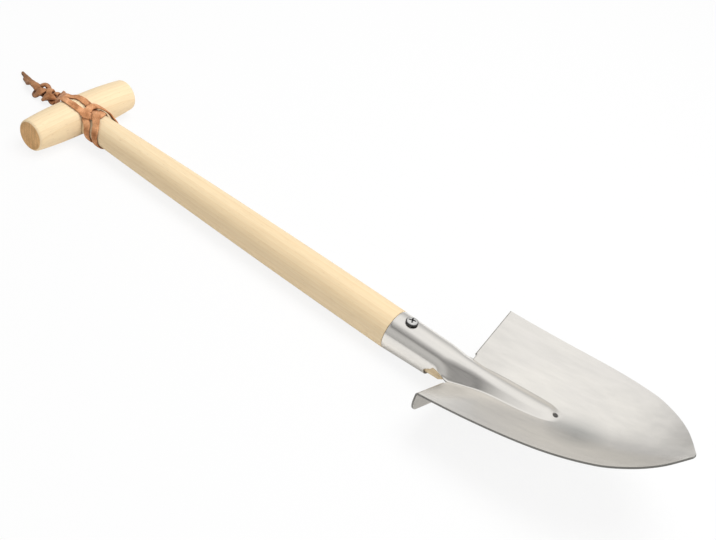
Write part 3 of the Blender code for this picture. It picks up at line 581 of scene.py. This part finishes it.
def grow_socket(sheet):
    """The socket's tube, cut back below the notches, and the cap that flares on over them to the blade."""
    seam = math.pi - SOCKET_SEAM / 2 / SOCKET_RIM_RADIUS
    cap_angles = np.linspace(0.0, NOTCH_ANGLE, CAP_STEPS + 1)
    wrap_angles = np.linspace(NOTCH_ANGLE, seam, WRAP_STEPS + 1)[1:]
    backs = [smooth_share((angle - NOTCH_ANGLE) / NOTCH_ROUNDS_OVER) for angle in wrap_angles]
    last = None
    for v in np.linspace(0.0, 1.0, SOCKET_ROWS):
        row = [sheet.add_round(SHAFT_TO_RIM + NOTCH_START * v, angle) for angle in cap_angles]
        for angle, back in zip(wrap_angles, backs):
            end = NOTCH_START - NOTCH_BACK_SET * back
            row.append(sheet.add_round(SHAFT_TO_RIM + end * v, angle))
        if last:
            sheet.join(last, row)
        last = row

    last = last[: CAP_STEPS + 1]
    for v in np.linspace(0.0, CAP_ENDS_AT, CAP_ROWS)[1:]:
        x = SHAFT_TO_RIM + NOTCH_START + (SOCKET_LENGTH - NOTCH_START) * v
        flare = smooth_share(v)
        row = []
        for angle in cap_angles:
            y, z = ridge_point(0.0, angle / NOTCH_ANGLE)
            k = sheet.add_round(x, angle)
            round_y, round_z = sheet.verts[k][1:]
            sheet.verts[k] = (x, round_y + (y - round_y) * flare, round_z + (z - round_z) * flare)
            row.append(k)
        sheet.join(last, row)
        last = row
    return last


def grow_blade(sheet, cap):
    """The ridge runs on from the socket's cap, with the blade's wing beside it out to the edge."""
    past_ridge = BLADE_LENGTH - RIDGE_LENGTH
    on_ridge = np.sin(np.linspace(0.0, math.pi / 2, RIDGE_ROWS))
    past_nose = np.sin(np.linspace(0.0, math.pi / 2, NOSE_ROWS)[1:])
    distances = [*(RIDGE_LENGTH * on_ridge), *(RIDGE_LENGTH + past_ridge * past_nose)]
    wing = (1 - np.cos(np.linspace(0.0, math.pi, WING_STEPS + 1)[1:])) / 2
    rows = []
    for d in distances:
        s = d / BLADE_LENGTH
        row = []
        for share in np.linspace(0.0, 1.0, CAP_STEPS + 1):
            row.append(sheet.add(SHOULDER_X + d, *ridge_point(d, share)))
        foot_width = sheet.verts[row[-1]][1]
        for share in wing:
            y = foot_width + (blade_half_width(s) - foot_width) * share
            row.append(sheet.add(SHOULDER_X + d, y, dish(s, y)))
        if rows:
            sheet.join(rows[-1], row)
        else:
            sheet.join(cap, row[: CAP_STEPS + 1])
        rows.append(row)
    return rows[0]


def grow_tread(sheet, shoulder):
    """The foot tread is folded down from the blade's shoulder, outside the socket."""
    beside_socket = SOCKET_RIM_RADIUS + TREAD_FROM_SOCKET
    fold = [k for k in shoulder[CAP_STEPS + 1 :] if sheet.verts[k][1] > beside_socket]
    inner = Vector(sheet.verts[fold[0]])
    outer = Vector(sheet.verts[fold[-1]])
    along = (outer - inner).normalized()
    up = Vector((1.0, 0.0, TREAD_PLANE_SLOPE)).cross(along).normalized()
    if up.z < 0:
        up.negate()
    backwards = along.cross(up).normalized()
    if backwards.x > 0:
        backwards.negate()
    last = fold
    for angle in np.linspace(0.0, math.pi / 2, ROUND_STEPS)[1:]:
        bend = TREAD_BEND * (math.sin(angle) * backwards - (1 - math.cos(angle)) * up)
        row = [sheet.add(*(Vector(sheet.verts[k]) + bend)) for k in fold]
        sheet.join(row, last)
        last = row
    bend_row = last
    for v in np.linspace(0.0, 1.0, ROUND_STEPS)[1:].tolist():
        row = []
        for k, base in zip(fold, bend_row):
            from_outer = (outer - Vector(sheet.verts[k])).length
            reach = max(tread_depth(from_outer, (outer - inner).length) - TREAD_BEND, SHEET / 2)
            row.append(sheet.add(*(Vector(sheet.verts[base]) - reach * v * up)))
        sheet.join(row, last)
        last = row


def make_blade(face, edge):
    """One pressing: grown on one side, mirrored, given its thickness, and its sheared edges broken."""
    sheet = HalfSheet()
    cap = grow_socket(sheet)
    shoulder = grow_blade(sheet, cap)
    grow_tread(sheet, shoulder)
    mesh = bpy.data.meshes.new("blade_sheet")
    mesh.from_pydata(sheet.verts, [], sheet.faces)
    mesh.transform(TOOL)
    blade = new_object("blade_sheet", mesh, face, edge)
    mirror = blade.modifiers.new("Both sides", "MIRROR")
    mirror.use_axis = (False, True, False)
    mirror.merge_threshold = MIRROR_JOINS_WITHIN
    thick = blade.modifiers.new("Sheet", "SOLIDIFY")
    thick.thickness = SHEET
    thick.offset = -1.0
    thick.use_even_offset = True
    thick.material_offset_rim = 1
    apply_modifiers(blade)
    bevel = blade.modifiers.new("Broken edges", "BEVEL")
    bevel.width = EDGE_BREAK
    bevel.segments = 2
    bevel.limit_method = "ANGLE"
    bevel.angle_limit = BROKEN_FROM
    bevel.material = 1
    apply_modifiers(blade)
    low, high = 0.5 * SOCKET_RIM_RADIUS, 2 * SOCKET_RIM_RADIUS
    cut_round(blade, SCREW_SHANK_RADIUS + CLEARANCE, low, high, (SCREW_X, 0.0, 0.0))
    cut_dimple(blade)
    return blade


def on_blade(from_shoulder, to_side, height=BLADE_EDGE_HEIGHT):
    return TOOL @ Vector((SHOULDER_X + from_shoulder, to_side, height))


def cut_dimple(blade):
    """The small round pocket that the press leaves in the ridge's nose, not right through the sheet."""
    above = on_blade(DIMPLE_FROM_SHOULDER, DIMPLE_TO_SIDE, 2 * TIP_HEIGHT)
    face = blade.ray_cast(above, Vector((0.0, 0.0, -1.0)))[1]
    mesh = plain_shape(bmesh.ops.create_uvsphere, u_segments=32, v_segments=16, radius=DIMPLE_HOLLOW)
    mesh.transform(Matrix.Translation(face + Vector((0.0, 0.0, DIMPLE_HOLLOW - DIMPLE_DEPTH))))
    cut_with(blade, mesh)


def make_screw(mat):
    """A shank with a rounded point, and a domed head with a cross cut into it."""
    seat = SOCKET_RIM_RADIUS + CLEARANCE
    low = SOCKET_RIM_RADIUS - SCREW_LENGTH
    profile = [(low, 0.0), (low + SCREW_SHANK_RADIUS, SCREW_SHANK_RADIUS), (seat, SCREW_SHANK_RADIUS)]
    profile += [(seat, SCREW_HEAD_RADIUS - SCREW_EDGE_BREAK), (seat + SCREW_EDGE_BREAK, SCREW_HEAD_RADIUS)]
    dome = SCREW_HEAD_HEIGHT - SCREW_HEAD_SIDE
    for angle in np.linspace(0.0, math.pi / 2, DOME_STEPS):
        height = seat + SCREW_HEAD_SIDE + dome * math.sin(angle)
        profile.append((height, SCREW_HEAD_RADIUS * math.cos(angle)))
    screw = lathe("screw_turning", profile, "Z", mat, SCREW_SIDES)
    screw.data.transform(TOOL @ Matrix.Translation((SCREW_X, 0.0, 0.0)) @ TOOL.inverted())
    size = Matrix.Diagonal((SCREW_CROSS_SPAN, SCREW_CROSS_WIDTH, 2 * SCREW_CROSS_DEPTH, 1.0))
    for number in range(2):
        mesh = plain_shape(bmesh.ops.create_cube, size=1.0)
        mesh.transform(size)
        for vert in mesh.vertices:
            if vert.co.z < 0:
                vert.co.x *= SCREW_CROSS_FLOOR
        turn = Matrix.Rotation(SCREW_CROSS_TURN + number * math.pi / 2, 4, "Z")
        mesh.transform(TOOL @ Matrix.Translation((SCREW_X, 0.0, seat + SCREW_HEAD_HEIGHT)) @ turn)
        cut_with(screw, mesh)
    return screw


def strip_section():
    """The strip's soft-edged cross-section, as shares of its half width and half thickness."""
    ring = []
    for k in range(STRIP_SIDES):
        a = 2 * math.pi * (k + 0.5) / STRIP_SIDES
        u = math.copysign(abs(math.cos(a)) ** STRIP_SQUARENESS, math.cos(a))
        v = math.copysign(abs(math.sin(a)) ** STRIP_FLATNESS, math.sin(a))
        ring.append((u, v * (1 - STRIP_HOLLOW * u * u)))
    return ring


def facings(line, wanted):
    """Directions that the strip's flat side faces: the wanted ones, evened out and square to the line."""
    tangent = np.gradient(line, axis=0)
    tangent /= np.linalg.norm(tangent, axis=1)[:, None]
    even = np.array(wanted)
    for _ in range(EVENING_ROUNDS):
        even[1:-1] = (even[:-2] + 2 * even[1:-1] + even[2:]) / 4
        even /= np.linalg.norm(even, axis=1)[:, None]
    even -= (even * tangent).sum(1)[:, None] * tangent
    even /= np.linalg.norm(even, axis=1)[:, None]
    return even, np.cross(tangent, even)


def strip(name, line, wanted, mat, ends, width, thickness):
    """A flat leather strip along a line. Its width wavers a little, as hand-cut lace does."""
    line = np.array(line)
    facing, across = facings(line, wanted)
    section = strip_section()
    along = distances_along(line)
    verts = []
    for i, centre in enumerate(line):
        waver = 1.0
        for by, turns, start in STRIP_WAVERS:
            waver += by * math.sin(along[i] * turns + start)
        near_end = min(along[i], along[-1] - along[i])
        share = min(near_end / TAIL_TAPERS_OVER, 1.0)
        tip = ends[0] if along[i] < along[-1] / 2 else ends[1]
        scale = waver * (tip + (1 - tip) * share)
        for u, v in section:
            across_by = across[i] * u * width / 2 * scale
            verts.append(tuple(centre + across_by + facing[i] * v * thickness / 2))
    faces = tube_faces(len(line), STRIP_SIDES)
    faces.append(tuple(range(STRIP_SIDES - 1, -1, -1)))
    faces.append(tuple((len(line) - 1) * STRIP_SIDES + k for k in range(STRIP_SIDES)))
    mesh = closed_mesh(name, verts, faces, join=False)
    for vertex in mesh.vertices:
        vertex.co.z = max(vertex.co.z, LACE_LIES_AT)
    mesh.shade_smooth()
    mesh.set_sharp_from_angle(angle=LACE_SHARP_FROM)
    return new_object(name, mesh, mat)


def away_from_wood(line):
    """From the shaft's axis past the grip, and from the grip's axis over it."""
    found = []
    for x, y, z in line:
        share = min(max((x - OFF_GRIP_FROM) / OFF_GRIP_OVER, 0.0), 1.0)
        from_shaft = np.array([0.0, y, z]) / max(math.hypot(y, z), TINY)
        from_grip = np.array([x, 0.0, z]) / max(math.hypot(x, z), TINY)
        found.append(from_shaft * share + from_grip * (1 - share))
    return found


def away_from_knot(line):
    """Outwards and up from a point under the knot, so that each band shows its flat side from above."""
    middle = np.array(line).mean(axis=0) - np.array([0.0, 0.0, KNOT_FACES_FROM])
    out = np.array(line) - middle
    return list(out / np.linalg.norm(out, axis=1)[:, None])


def make_lace(mat):
    """The lace in three lengths: over the grip and round the shaft, its near knot, and the rest."""
    routes = lace_routes()
    near, far = routes["lace_knot_near"], routes["lace_knot_far"]
    lower, upper = routes["lace_strand_lower"], routes["lace_strand_upper"]
    short_tail, long_tail = routes["lace_tail_short"], routes["lace_tail_long"]
    loop = np.concatenate([lower[::-1], routes["lace_winding"][::-1], upper])
    rest = np.concatenate([short_tail, far, long_tail[::-1]])
    up = [np.array([0.0, 0.0, 1.0])]
    rest_faces = up * len(short_tail) + away_from_knot(far) + up * len(long_tail)
    thin, bunched = (STRIP_WIDTH, STRIP_THICKNESS), (KNOT_STRIP_WIDTH, KNOT_STRIP_THICKNESS)
    lengths = (
        ("lace_loop", loop, away_from_wood(loop), (0.75, 0.75), thin, "object", loop[0]),
        ("lace_first_knot", near, away_from_knot(near), (0.8, 0.8), bunched, "object", near[0]),
        ("lace_end_knot", rest, rest_faces, (0.45, 0.4), bunched, "bare", far[len(far) // 2]),
    )
    replaced = {
        "lace_loop": ("lace_winding", "lace_strand_upper", "lace_strand_lower"),
        "lace_first_knot": ("lace_knot_near",),
        "lace_end_knot": ("lace_knot_far", "lace_tail_long", "lace_tail_short"),
    }
    for name, line, facing, ends, (width, thickness), far_end, leaves_at in lengths:
        obj = strip(name, line, facing, mat, ends, width, thickness)
        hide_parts(*replaced[name])
        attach(obj, "root")


def with_alpha(colour):
    """A grey or a colour as the four numbers that a socket takes."""
    return (*colour, 1.0) if hasattr(colour, "__len__") else (colour, colour, colour, 1.0)


def feed(tree, socket, value):
    """Links a socket to another node's output, or sets it to a plain value."""
    if isinstance(value, bpy.types.NodeSocket):
        tree.links.new(value, socket)
    elif socket.type == "RGBA":
        socket.default_value = with_alpha(value)
    else:
        socket.default_value = value


def set_values(tree, node, **values):
    """A node's settings and inputs by name, with an underscore for a space."""
    for key, value in values.items():
        if hasattr(node, key):
            setattr(node, key, value)
        else:
            feed(tree, node.inputs[key.replace("_", " ")], value)


def add(tree, kind, **values):
    made = tree.nodes.new("ShaderNode" + kind)
    set_values(tree, made, **values)
    return made


def new_material(name, **values):
    """A material, its node tree and its shader, with the shader's plain values by name."""
    mat = bpy.data.materials.new(name)
    mat.use_nodes = True
    shader = mat.node_tree.nodes["Principled BSDF"]
    set_values(mat.node_tree, shader, **values)
    return mat, mat.node_tree, shader


def place(tree, scale=(1, 1, 1), shift=(0, 0, 0), turn=0.0):
    """Points on the piece in metres, stretched, turned about Z and shifted for a pattern."""
    where = add(tree, "TexCoord").outputs["Object"]
    turned = (0.0, 0.0, turn)
    made = add(tree, "Mapping", Vector=where, Scale=scale, Location=shift, Rotation=turned)
    return made.outputs["Vector"]


def drawn_out(along, share, across=(1.0, 1.0, 1.0)):
    """A pattern's scales, with their own along one axis."""
    scales = list(across)
    scales[along] = share
    return scales


def parts_of(tree, vector):
    return add(tree, "SeparateXYZ", Vector=vector).outputs


def noise(tree, vector, scale, detail=3.0, roughness=0.5):
    made = add(tree, "TexNoise", Vector=vector, Scale=scale, Detail=detail, Roughness=roughness)
    return made.outputs["Fac"]


def ramp(tree, value, *stops):
    """Greys or colours that a value from 0 to 1 stands for."""
    made = add(tree, "ValToRGB", Fac=value)
    elements = made.color_ramp.elements
    while len(elements) < len(stops):
        elements.new(0.5)
    for element, (position, colour) in zip(elements, stops):
        element.position = position
        element.color = with_alpha(colour)
    return made.outputs["Color"]


def mix(tree, share, first, second, kind="MIX"):
    made = add(tree, "Mix", data_type="RGBA", blend_type=kind)
    colours = [socket for socket in made.inputs if socket.type == "RGBA"]
    for socket, value in zip((made.inputs[0], *colours), (share, first, second)):
        feed(tree, socket, value)
    return next(socket for socket in made.outputs if socket.type == "RGBA")


def multiply(tree, first, second):
    return mix(tree, 1.0, first, second, "MULTIPLY")


def maths(tree, operation, *values):
    made = add(tree, "Math", operation=operation)
    for socket, value in zip(made.inputs, values):
        feed(tree, socket, value)
    return made.outputs["Value"]


def clamped(tree, value, most=1.0):
    return maths(tree, "MINIMUM", maths(tree, "MAXIMUM", value, 0.0), most)


def bump(tree, *layers):
    """Stacks (height, strength, distance) layers into one normal."""
    normal = None
    for height, strength, distance in layers:
        made = add(tree, "Bump", Height=height, Strength=strength, Distance=distance)
        if normal:
            feed(tree, made.inputs["Normal"], normal)
        normal = made.outputs["Normal"]
    return normal


def spot(tree, centre, radius):
    """1 at a place on the piece seen from above, falling to 0 at the radius round it."""
    apart = add(tree, "VectorMath", operation="DISTANCE")
    feed(tree, apart.inputs[0], place(tree, (1.0, 1.0, 0.0)))
    feed(tree, apart.inputs[1], (centre.x, centre.y, 0.0))
    return clamped(tree, maths(tree, "MULTIPLY_ADD", apart.outputs["Value"], -1 / radius, 1.0))


def wood_material(name, axis, pith):
    """Pale beech: growth rings round a pith beside the piece, drawn-out fibres, and darker end grain."""
    mat, tree, shader = new_material(name, Roughness=0.5)
    along = "XYZ".index(axis)
    rings = add(
        tree,
        "TexWave",
        wave_type="RINGS",
        rings_direction=axis,
        wave_profile="SAW",
        Vector=place(tree, drawn_out(along, FIBRE_DRAWN), pith),
        Scale=105.0,
        Distortion=3.2,
        Detail=2.0,
        Detail_Scale=0.5,
    ).outputs["Fac"]
    grain = place(tree, drawn_out(along, FIBRE_DRAWN))
    fibre = noise(tree, grain, scale=1300.0, detail=4.0, roughness=0.65)
    drift = noise(tree, grain, scale=60.0, detail=2.0)
    flecks = noise(tree, place(tree, drawn_out(along, FLECK_DRAWN), FLECK_SHIFT), scale=1500.0, detail=1.0)
    tone = ramp(tree, rings, (0.0, WOOD_PALE), (0.75, WOOD_MID), (1.0, WOOD_RING))
    tone = multiply(tree, tone, ramp(tree, drift, (0.3, WOOD_DRIFT), (0.7, 1.03)))
    tone = multiply(tree, tone, ramp(tree, fibre, (0.3, WOOD_FIBRE), (0.6, 1.02)))
    tone = mix(tree, ramp(tree, flecks, (0.68, 0.0), (0.76, 0.45)), tone, WOOD_FLECK)
    pores = noise(tree, place(tree), scale=2600.0, detail=2.0, roughness=0.7)
    years = noise(tree, place(tree, drawn_out(along, 1.0, YEARS_ACROSS)), scale=170.0)
    end_tone = multiply(tree, WOOD_END, ramp(tree, pores, (0.35, WOOD_PORE), (0.6, 1.0)))
    end_tone = multiply(tree, end_tone, ramp(tree, years, (0.35, WOOD_YEAR), (0.65, 1.10)))
    facing = parts_of(tree, add(tree, "TexCoord").outputs["Normal"])[along]
    end = ramp(tree, maths(tree, "ABSOLUTE", facing), (0.86, 0.0), (0.97, 1.0))
    set_values(
        tree,
        shader,
        Base_Color=mix(tree, end, tone, end_tone),
        Roughness=ramp(tree, fibre, (0.3, 0.62), (0.7, 0.48)),
        Specular_IOR_Level=0.35,
        Normal=bump(tree, (fibre, 0.16, 0.0001), (rings, 0.05, 0.0001)),
    )
    return mat


def steel_material():
    """Satin steel: scratches drawn out lengthwise, cloudy smears, painted shade in the pocket, and a
    streaky painted dark reflection on the near wing.
    """
    mat, tree, shader = new_material("satin_steel", Roughness=0.3, Metallic=1.0)
    brushed = noise(tree, place(tree, drawn_out(0, SCRATCH_DRAWN)), scale=2600.0, roughness=0.6)
    streaks = noise(tree, place(tree, drawn_out(0, STREAK_DRAWN)), scale=190.0, roughness=0.6)
    clouds = noise(tree, place(tree, drawn_out(0, CLOUD_DRAWN)), scale=38.0)
    tone = ramp(tree, streaks, (0.3, STEEL_DULL), (0.7, STEEL_BRIGHT))
    tone = multiply(tree, tone, ramp(tree, clouds, (0.3, STEEL_SMEARED), (0.7, STEEL_CLEAR)))
    # Painted shade: the pocket in the ridge's nose is coloured nearly black
    dent = spot(tree, on_blade(DIMPLE_FROM_SHOULDER, DIMPLE_TO_SIDE), DIMPLE_RADIUS)
    tone = mix(tree, ramp(tree, dent, (0.30, 0.0), (0.55, 0.92)), tone, STEEL_POCKET_SHADE)
    # Painted dark reflection: a streaky darker patch on the near wing past the ridge's nose
    reflection_spot = spot(tree, on_blade(PAINTED_REFLECTION_FROM_SHOULDER, PAINTED_REFLECTION_TO_SIDE), PAINTED_REFLECTION_RADIUS)
    painted_reflection = maths(tree, "MULTIPLY", reflection_spot, streaks)
    set_values(
        tree,
        shader,
        Base_Color=multiply(tree, tone, ramp(tree, painted_reflection, (0.0, 1.0), (0.55, STEEL_PAINTED_REFLECTION))),
        Roughness=ramp(tree, brushed, (0.25, 0.17), (0.75, 0.27)),
        Normal=bump(tree, (clouds, 0.03, 0.0012), (brushed, 0.05, 0.00003)),
    )
    return mat


def cut_edge_material():
    """The sheared rim of the sheet, darker and rougher than its faces."""
    mat, tree, shader = new_material("sheared_edge", Roughness=0.5, Metallic=1.0)
    marks = noise(tree, place(tree), scale=1800.0, roughness=0.6)
    tone = ramp(tree, marks, (0.3, EDGE_DARK), (0.7, EDGE_PALE))
    set_values(tree, shader, Base_Color=tone, Normal=bump(tree, (marks, 0.2, 0.0001)))
    return mat


def screw_material():
    """Plated steel, with painted shade as dark lines round the head and in its cross."""
    mat, tree, shader = new_material("plated_steel", Roughness=0.2, Metallic=1.0)
    spots = noise(tree, place(tree), scale=1400.0)
    tone = ramp(tree, spots, (0.35, SCREW_DULL), (0.65, SCREW_BRIGHT))
    centre = TOOL @ Vector((SCREW_X, 0.0, 0.0))
    # Painted shade: the head turns dark towards its rim
    inward = spot(tree, centre, SCREW_HEAD_RADIUS)
    tone = multiply(tree, tone, ramp(tree, inward, (0.06, 0.10), (0.22, 1.0)))
    # Painted shade: the cross's slots are coloured nearly black
    turned = Matrix.Rotation(-SCREW_CROSS_TURN, 4, "Z")
    squared = parts_of(tree, place(tree, shift=-(turned @ centre), turn=-SCREW_CROSS_TURN))
    aside = [maths(tree, "ABSOLUTE", squared[axis]) for axis in ("X", "Y")]
    slot = maths(tree, "LESS_THAN", maths(tree, "MINIMUM", *aside), SCREW_CROSS_WIDTH / 2)
    arms = maths(tree, "LESS_THAN", maths(tree, "MAXIMUM", *aside), SCREW_CROSS_SPAN / 2)
    set_values(
        tree,
        shader,
        Base_Color=mix(tree, maths(tree, "MULTIPLY", slot, arms), tone, SCREW_SLOT_SHADE),
        Roughness=ramp(tree, spots, (0.3, 0.16), (0.7, 0.3)),
        Normal=bump(tree, (spots, 0.08, 0.0001)),
    )
    return mat


def leather_material():
    """Tan split leather: mottled colour, a napped surface, painted shade in its creases, and darker tail
    tips.
    """
    mat, tree, shader = new_material("suede_leather", Roughness=0.85)
    broad = noise(tree, place(tree), scale=150.0)
    nap = noise(tree, place(tree), scale=1500.0, detail=4.0, roughness=0.7)
    tone = ramp(tree, broad, (0.30, LEATHER_DARK), (0.5, LEATHER_MID), (0.70, LEATHER_PALE))
    tone = multiply(tree, tone, ramp(tree, nap, (0.32, LEATHER_NAP), (0.62, 1.08)))
    x = parts_of(tree, place(tree))["X"]
    tip = maths(tree, "MULTIPLY_ADD", x, -TIP_DARKENS_PER_M, TIP_DARKENS_FROM * TIP_DARKENS_PER_M)
    tone = mix(tree, clamped(tree, tip, TIP_DARKENS_TO), tone, LEATHER_TIP)
    # Painted shade: darker where the lace is closed in by itself
    open_to_light = add(tree, "AmbientOcclusion", Distance=CREASE_SHADE_REACH).outputs["AO"]
    set_values(
        tree,
        shader,
        Base_Color=multiply(tree, tone, ramp(tree, open_to_light, (0.25, LEATHER_CREASE_SHADE), (0.85, 1.06))),
        Sheen_Weight=0.08,
        Sheen_Roughness=0.5,
        Specular_IOR_Level=0.25,
        Normal=bump(tree, (nap, 0.45, 0.00025), (broad, 0.2, 0.0006)),
    )
    return mat


def in_mirrors(tree, path):
    """1 for what metal or glass shows of a surface, and 0 for the rest."""
    return maths(tree, "MAXIMUM", path.outputs["Is Glossy Ray"], path.outputs["Is Transmission Ray"])


def seen_directly(tree, direct, mirrored):
    """How far a surface shows the plain white backdrop: to the camera, and in metal or glass."""
    path = add(tree, "LightPath")
    first = maths(tree, "MULTIPLY", path.outputs["Is Camera Ray"], direct)
    second = maths(tree, "MULTIPLY", in_mirrors(tree, path), mirrored)
    return maths(tree, "MAXIMUM", first, second)


def make_floor():
    """The white floor. It keeps the tool's shadow, because its glow shows only in part."""
    mesh = bpy.data.meshes.new("floor")
    sides = ((-1, -1), (1, -1), (1, 1), (-1, 1))
    mesh.from_pydata([(FLOOR_REACH * x, FLOOR_REACH * y, 0) for x, y in sides], [], [(0, 1, 2, 3)])
    mat = bpy.data.materials.new("white_floor")
    mat.use_nodes = True
    tree = mat.node_tree
    tree.nodes.clear()
    paint = add(tree, "BsdfDiffuse", Color=FLOOR_PAINT)
    glow = add(tree, "Emission", Color=1.0, Strength=1.0)
    share = seen_directly(tree, FLOOR_TO_CAMERA, FLOOR_IN_METAL)
    mixed = add(tree, "MixShader")
    for socket, value in zip(mixed.inputs, (share, paint.outputs[0], glow.outputs[0])):
        feed(tree, socket, value)
    add(tree, "OutputMaterial", Surface=mixed.outputs[0])
    floor = new_object("floor", mesh, mat)
    floor.location.z = -FLOOR_DROP


def make_world():
    """A white studio. Metal sees it dimmer behind the camera and past the handle, where no lamp stands."""
    world = bpy.data.worlds.new("studio")
    bpy.context.scene.world = world
    world.use_nodes = True
    tree = world.node_tree
    tree.nodes.clear()
    direction = parts_of(tree, add(tree, "TexCoord").outputs["Generated"])
    near = maths(tree, "MULTIPLY_ADD", direction["Y"], DIM_SIDE_SLOPE, DIM_SIDE_START)
    behind_camera = ramp(tree, direction["Z"], *DIM_SIDE)
    bright_side = ramp(tree, direction["Z"], *BRIGHT_SIDE)
    studio = mix(tree, clamped(tree, near), bright_side, behind_camera)
    past_handle = maths(tree, "MULTIPLY_ADD", direction["X"], 0.5, 0.5)
    studio = multiply(tree, studio, ramp(tree, past_handle, *HANDLE_SIDE))
    path = add(tree, "LightPath")
    plain = mix(tree, path.outputs["Is Camera Ray"], SKY_LIGHT, 1.0)
    colour = mix(tree, in_mirrors(tree, path), plain, studio)
    background = add(tree, "Background", Color=colour, Strength=1.0)
    add(tree, "OutputWorld", Surface=background.outputs[0])


def make_lamp(name, power, size, place_at):
    """A softbox that points at the origin and that metal doesn't show."""
    data = bpy.data.lights.new(name, "AREA")
    data.energy = power
    data.shape = "RECTANGLE"
    data.size, data.size_y = size
    lamp = bpy.data.objects.new(name, data)
    lamp.visible_glossy = False
    bpy.context.scene.collection.objects.link(lamp)
    lamp.location = place_at
    lamp.rotation_euler = (-Vector(place_at)).to_track_quat("-Z", "Y").to_euler()


wood_on_x = wood_material("shaft_beech", "X", SHAFT_PITH)
wood_on_y = wood_material("grip_beech", "Y", GRIP_PITH)
steel = steel_material()
pieces = (
    (make_grip(wood_on_y), "grip", "grip_wood"),
    (make_shaft(wood_on_x), "shaft", "shaft_wood"),
    (make_blade(steel, cut_edge_material()), "blade_pressing", "blade_steel"),
    (make_screw(screw_material()), "socket_screw", "screw_steel"),
)
for obj, node, slot in pieces:
    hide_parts(node)
    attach(obj, "root")
make_lace(leather_material())

make_floor()
make_world()
for lamp in LAMPS:
    make_lamp(*lamp)
place_camera()
bpy.context.scene.view_settings.view_transform = "Standard"
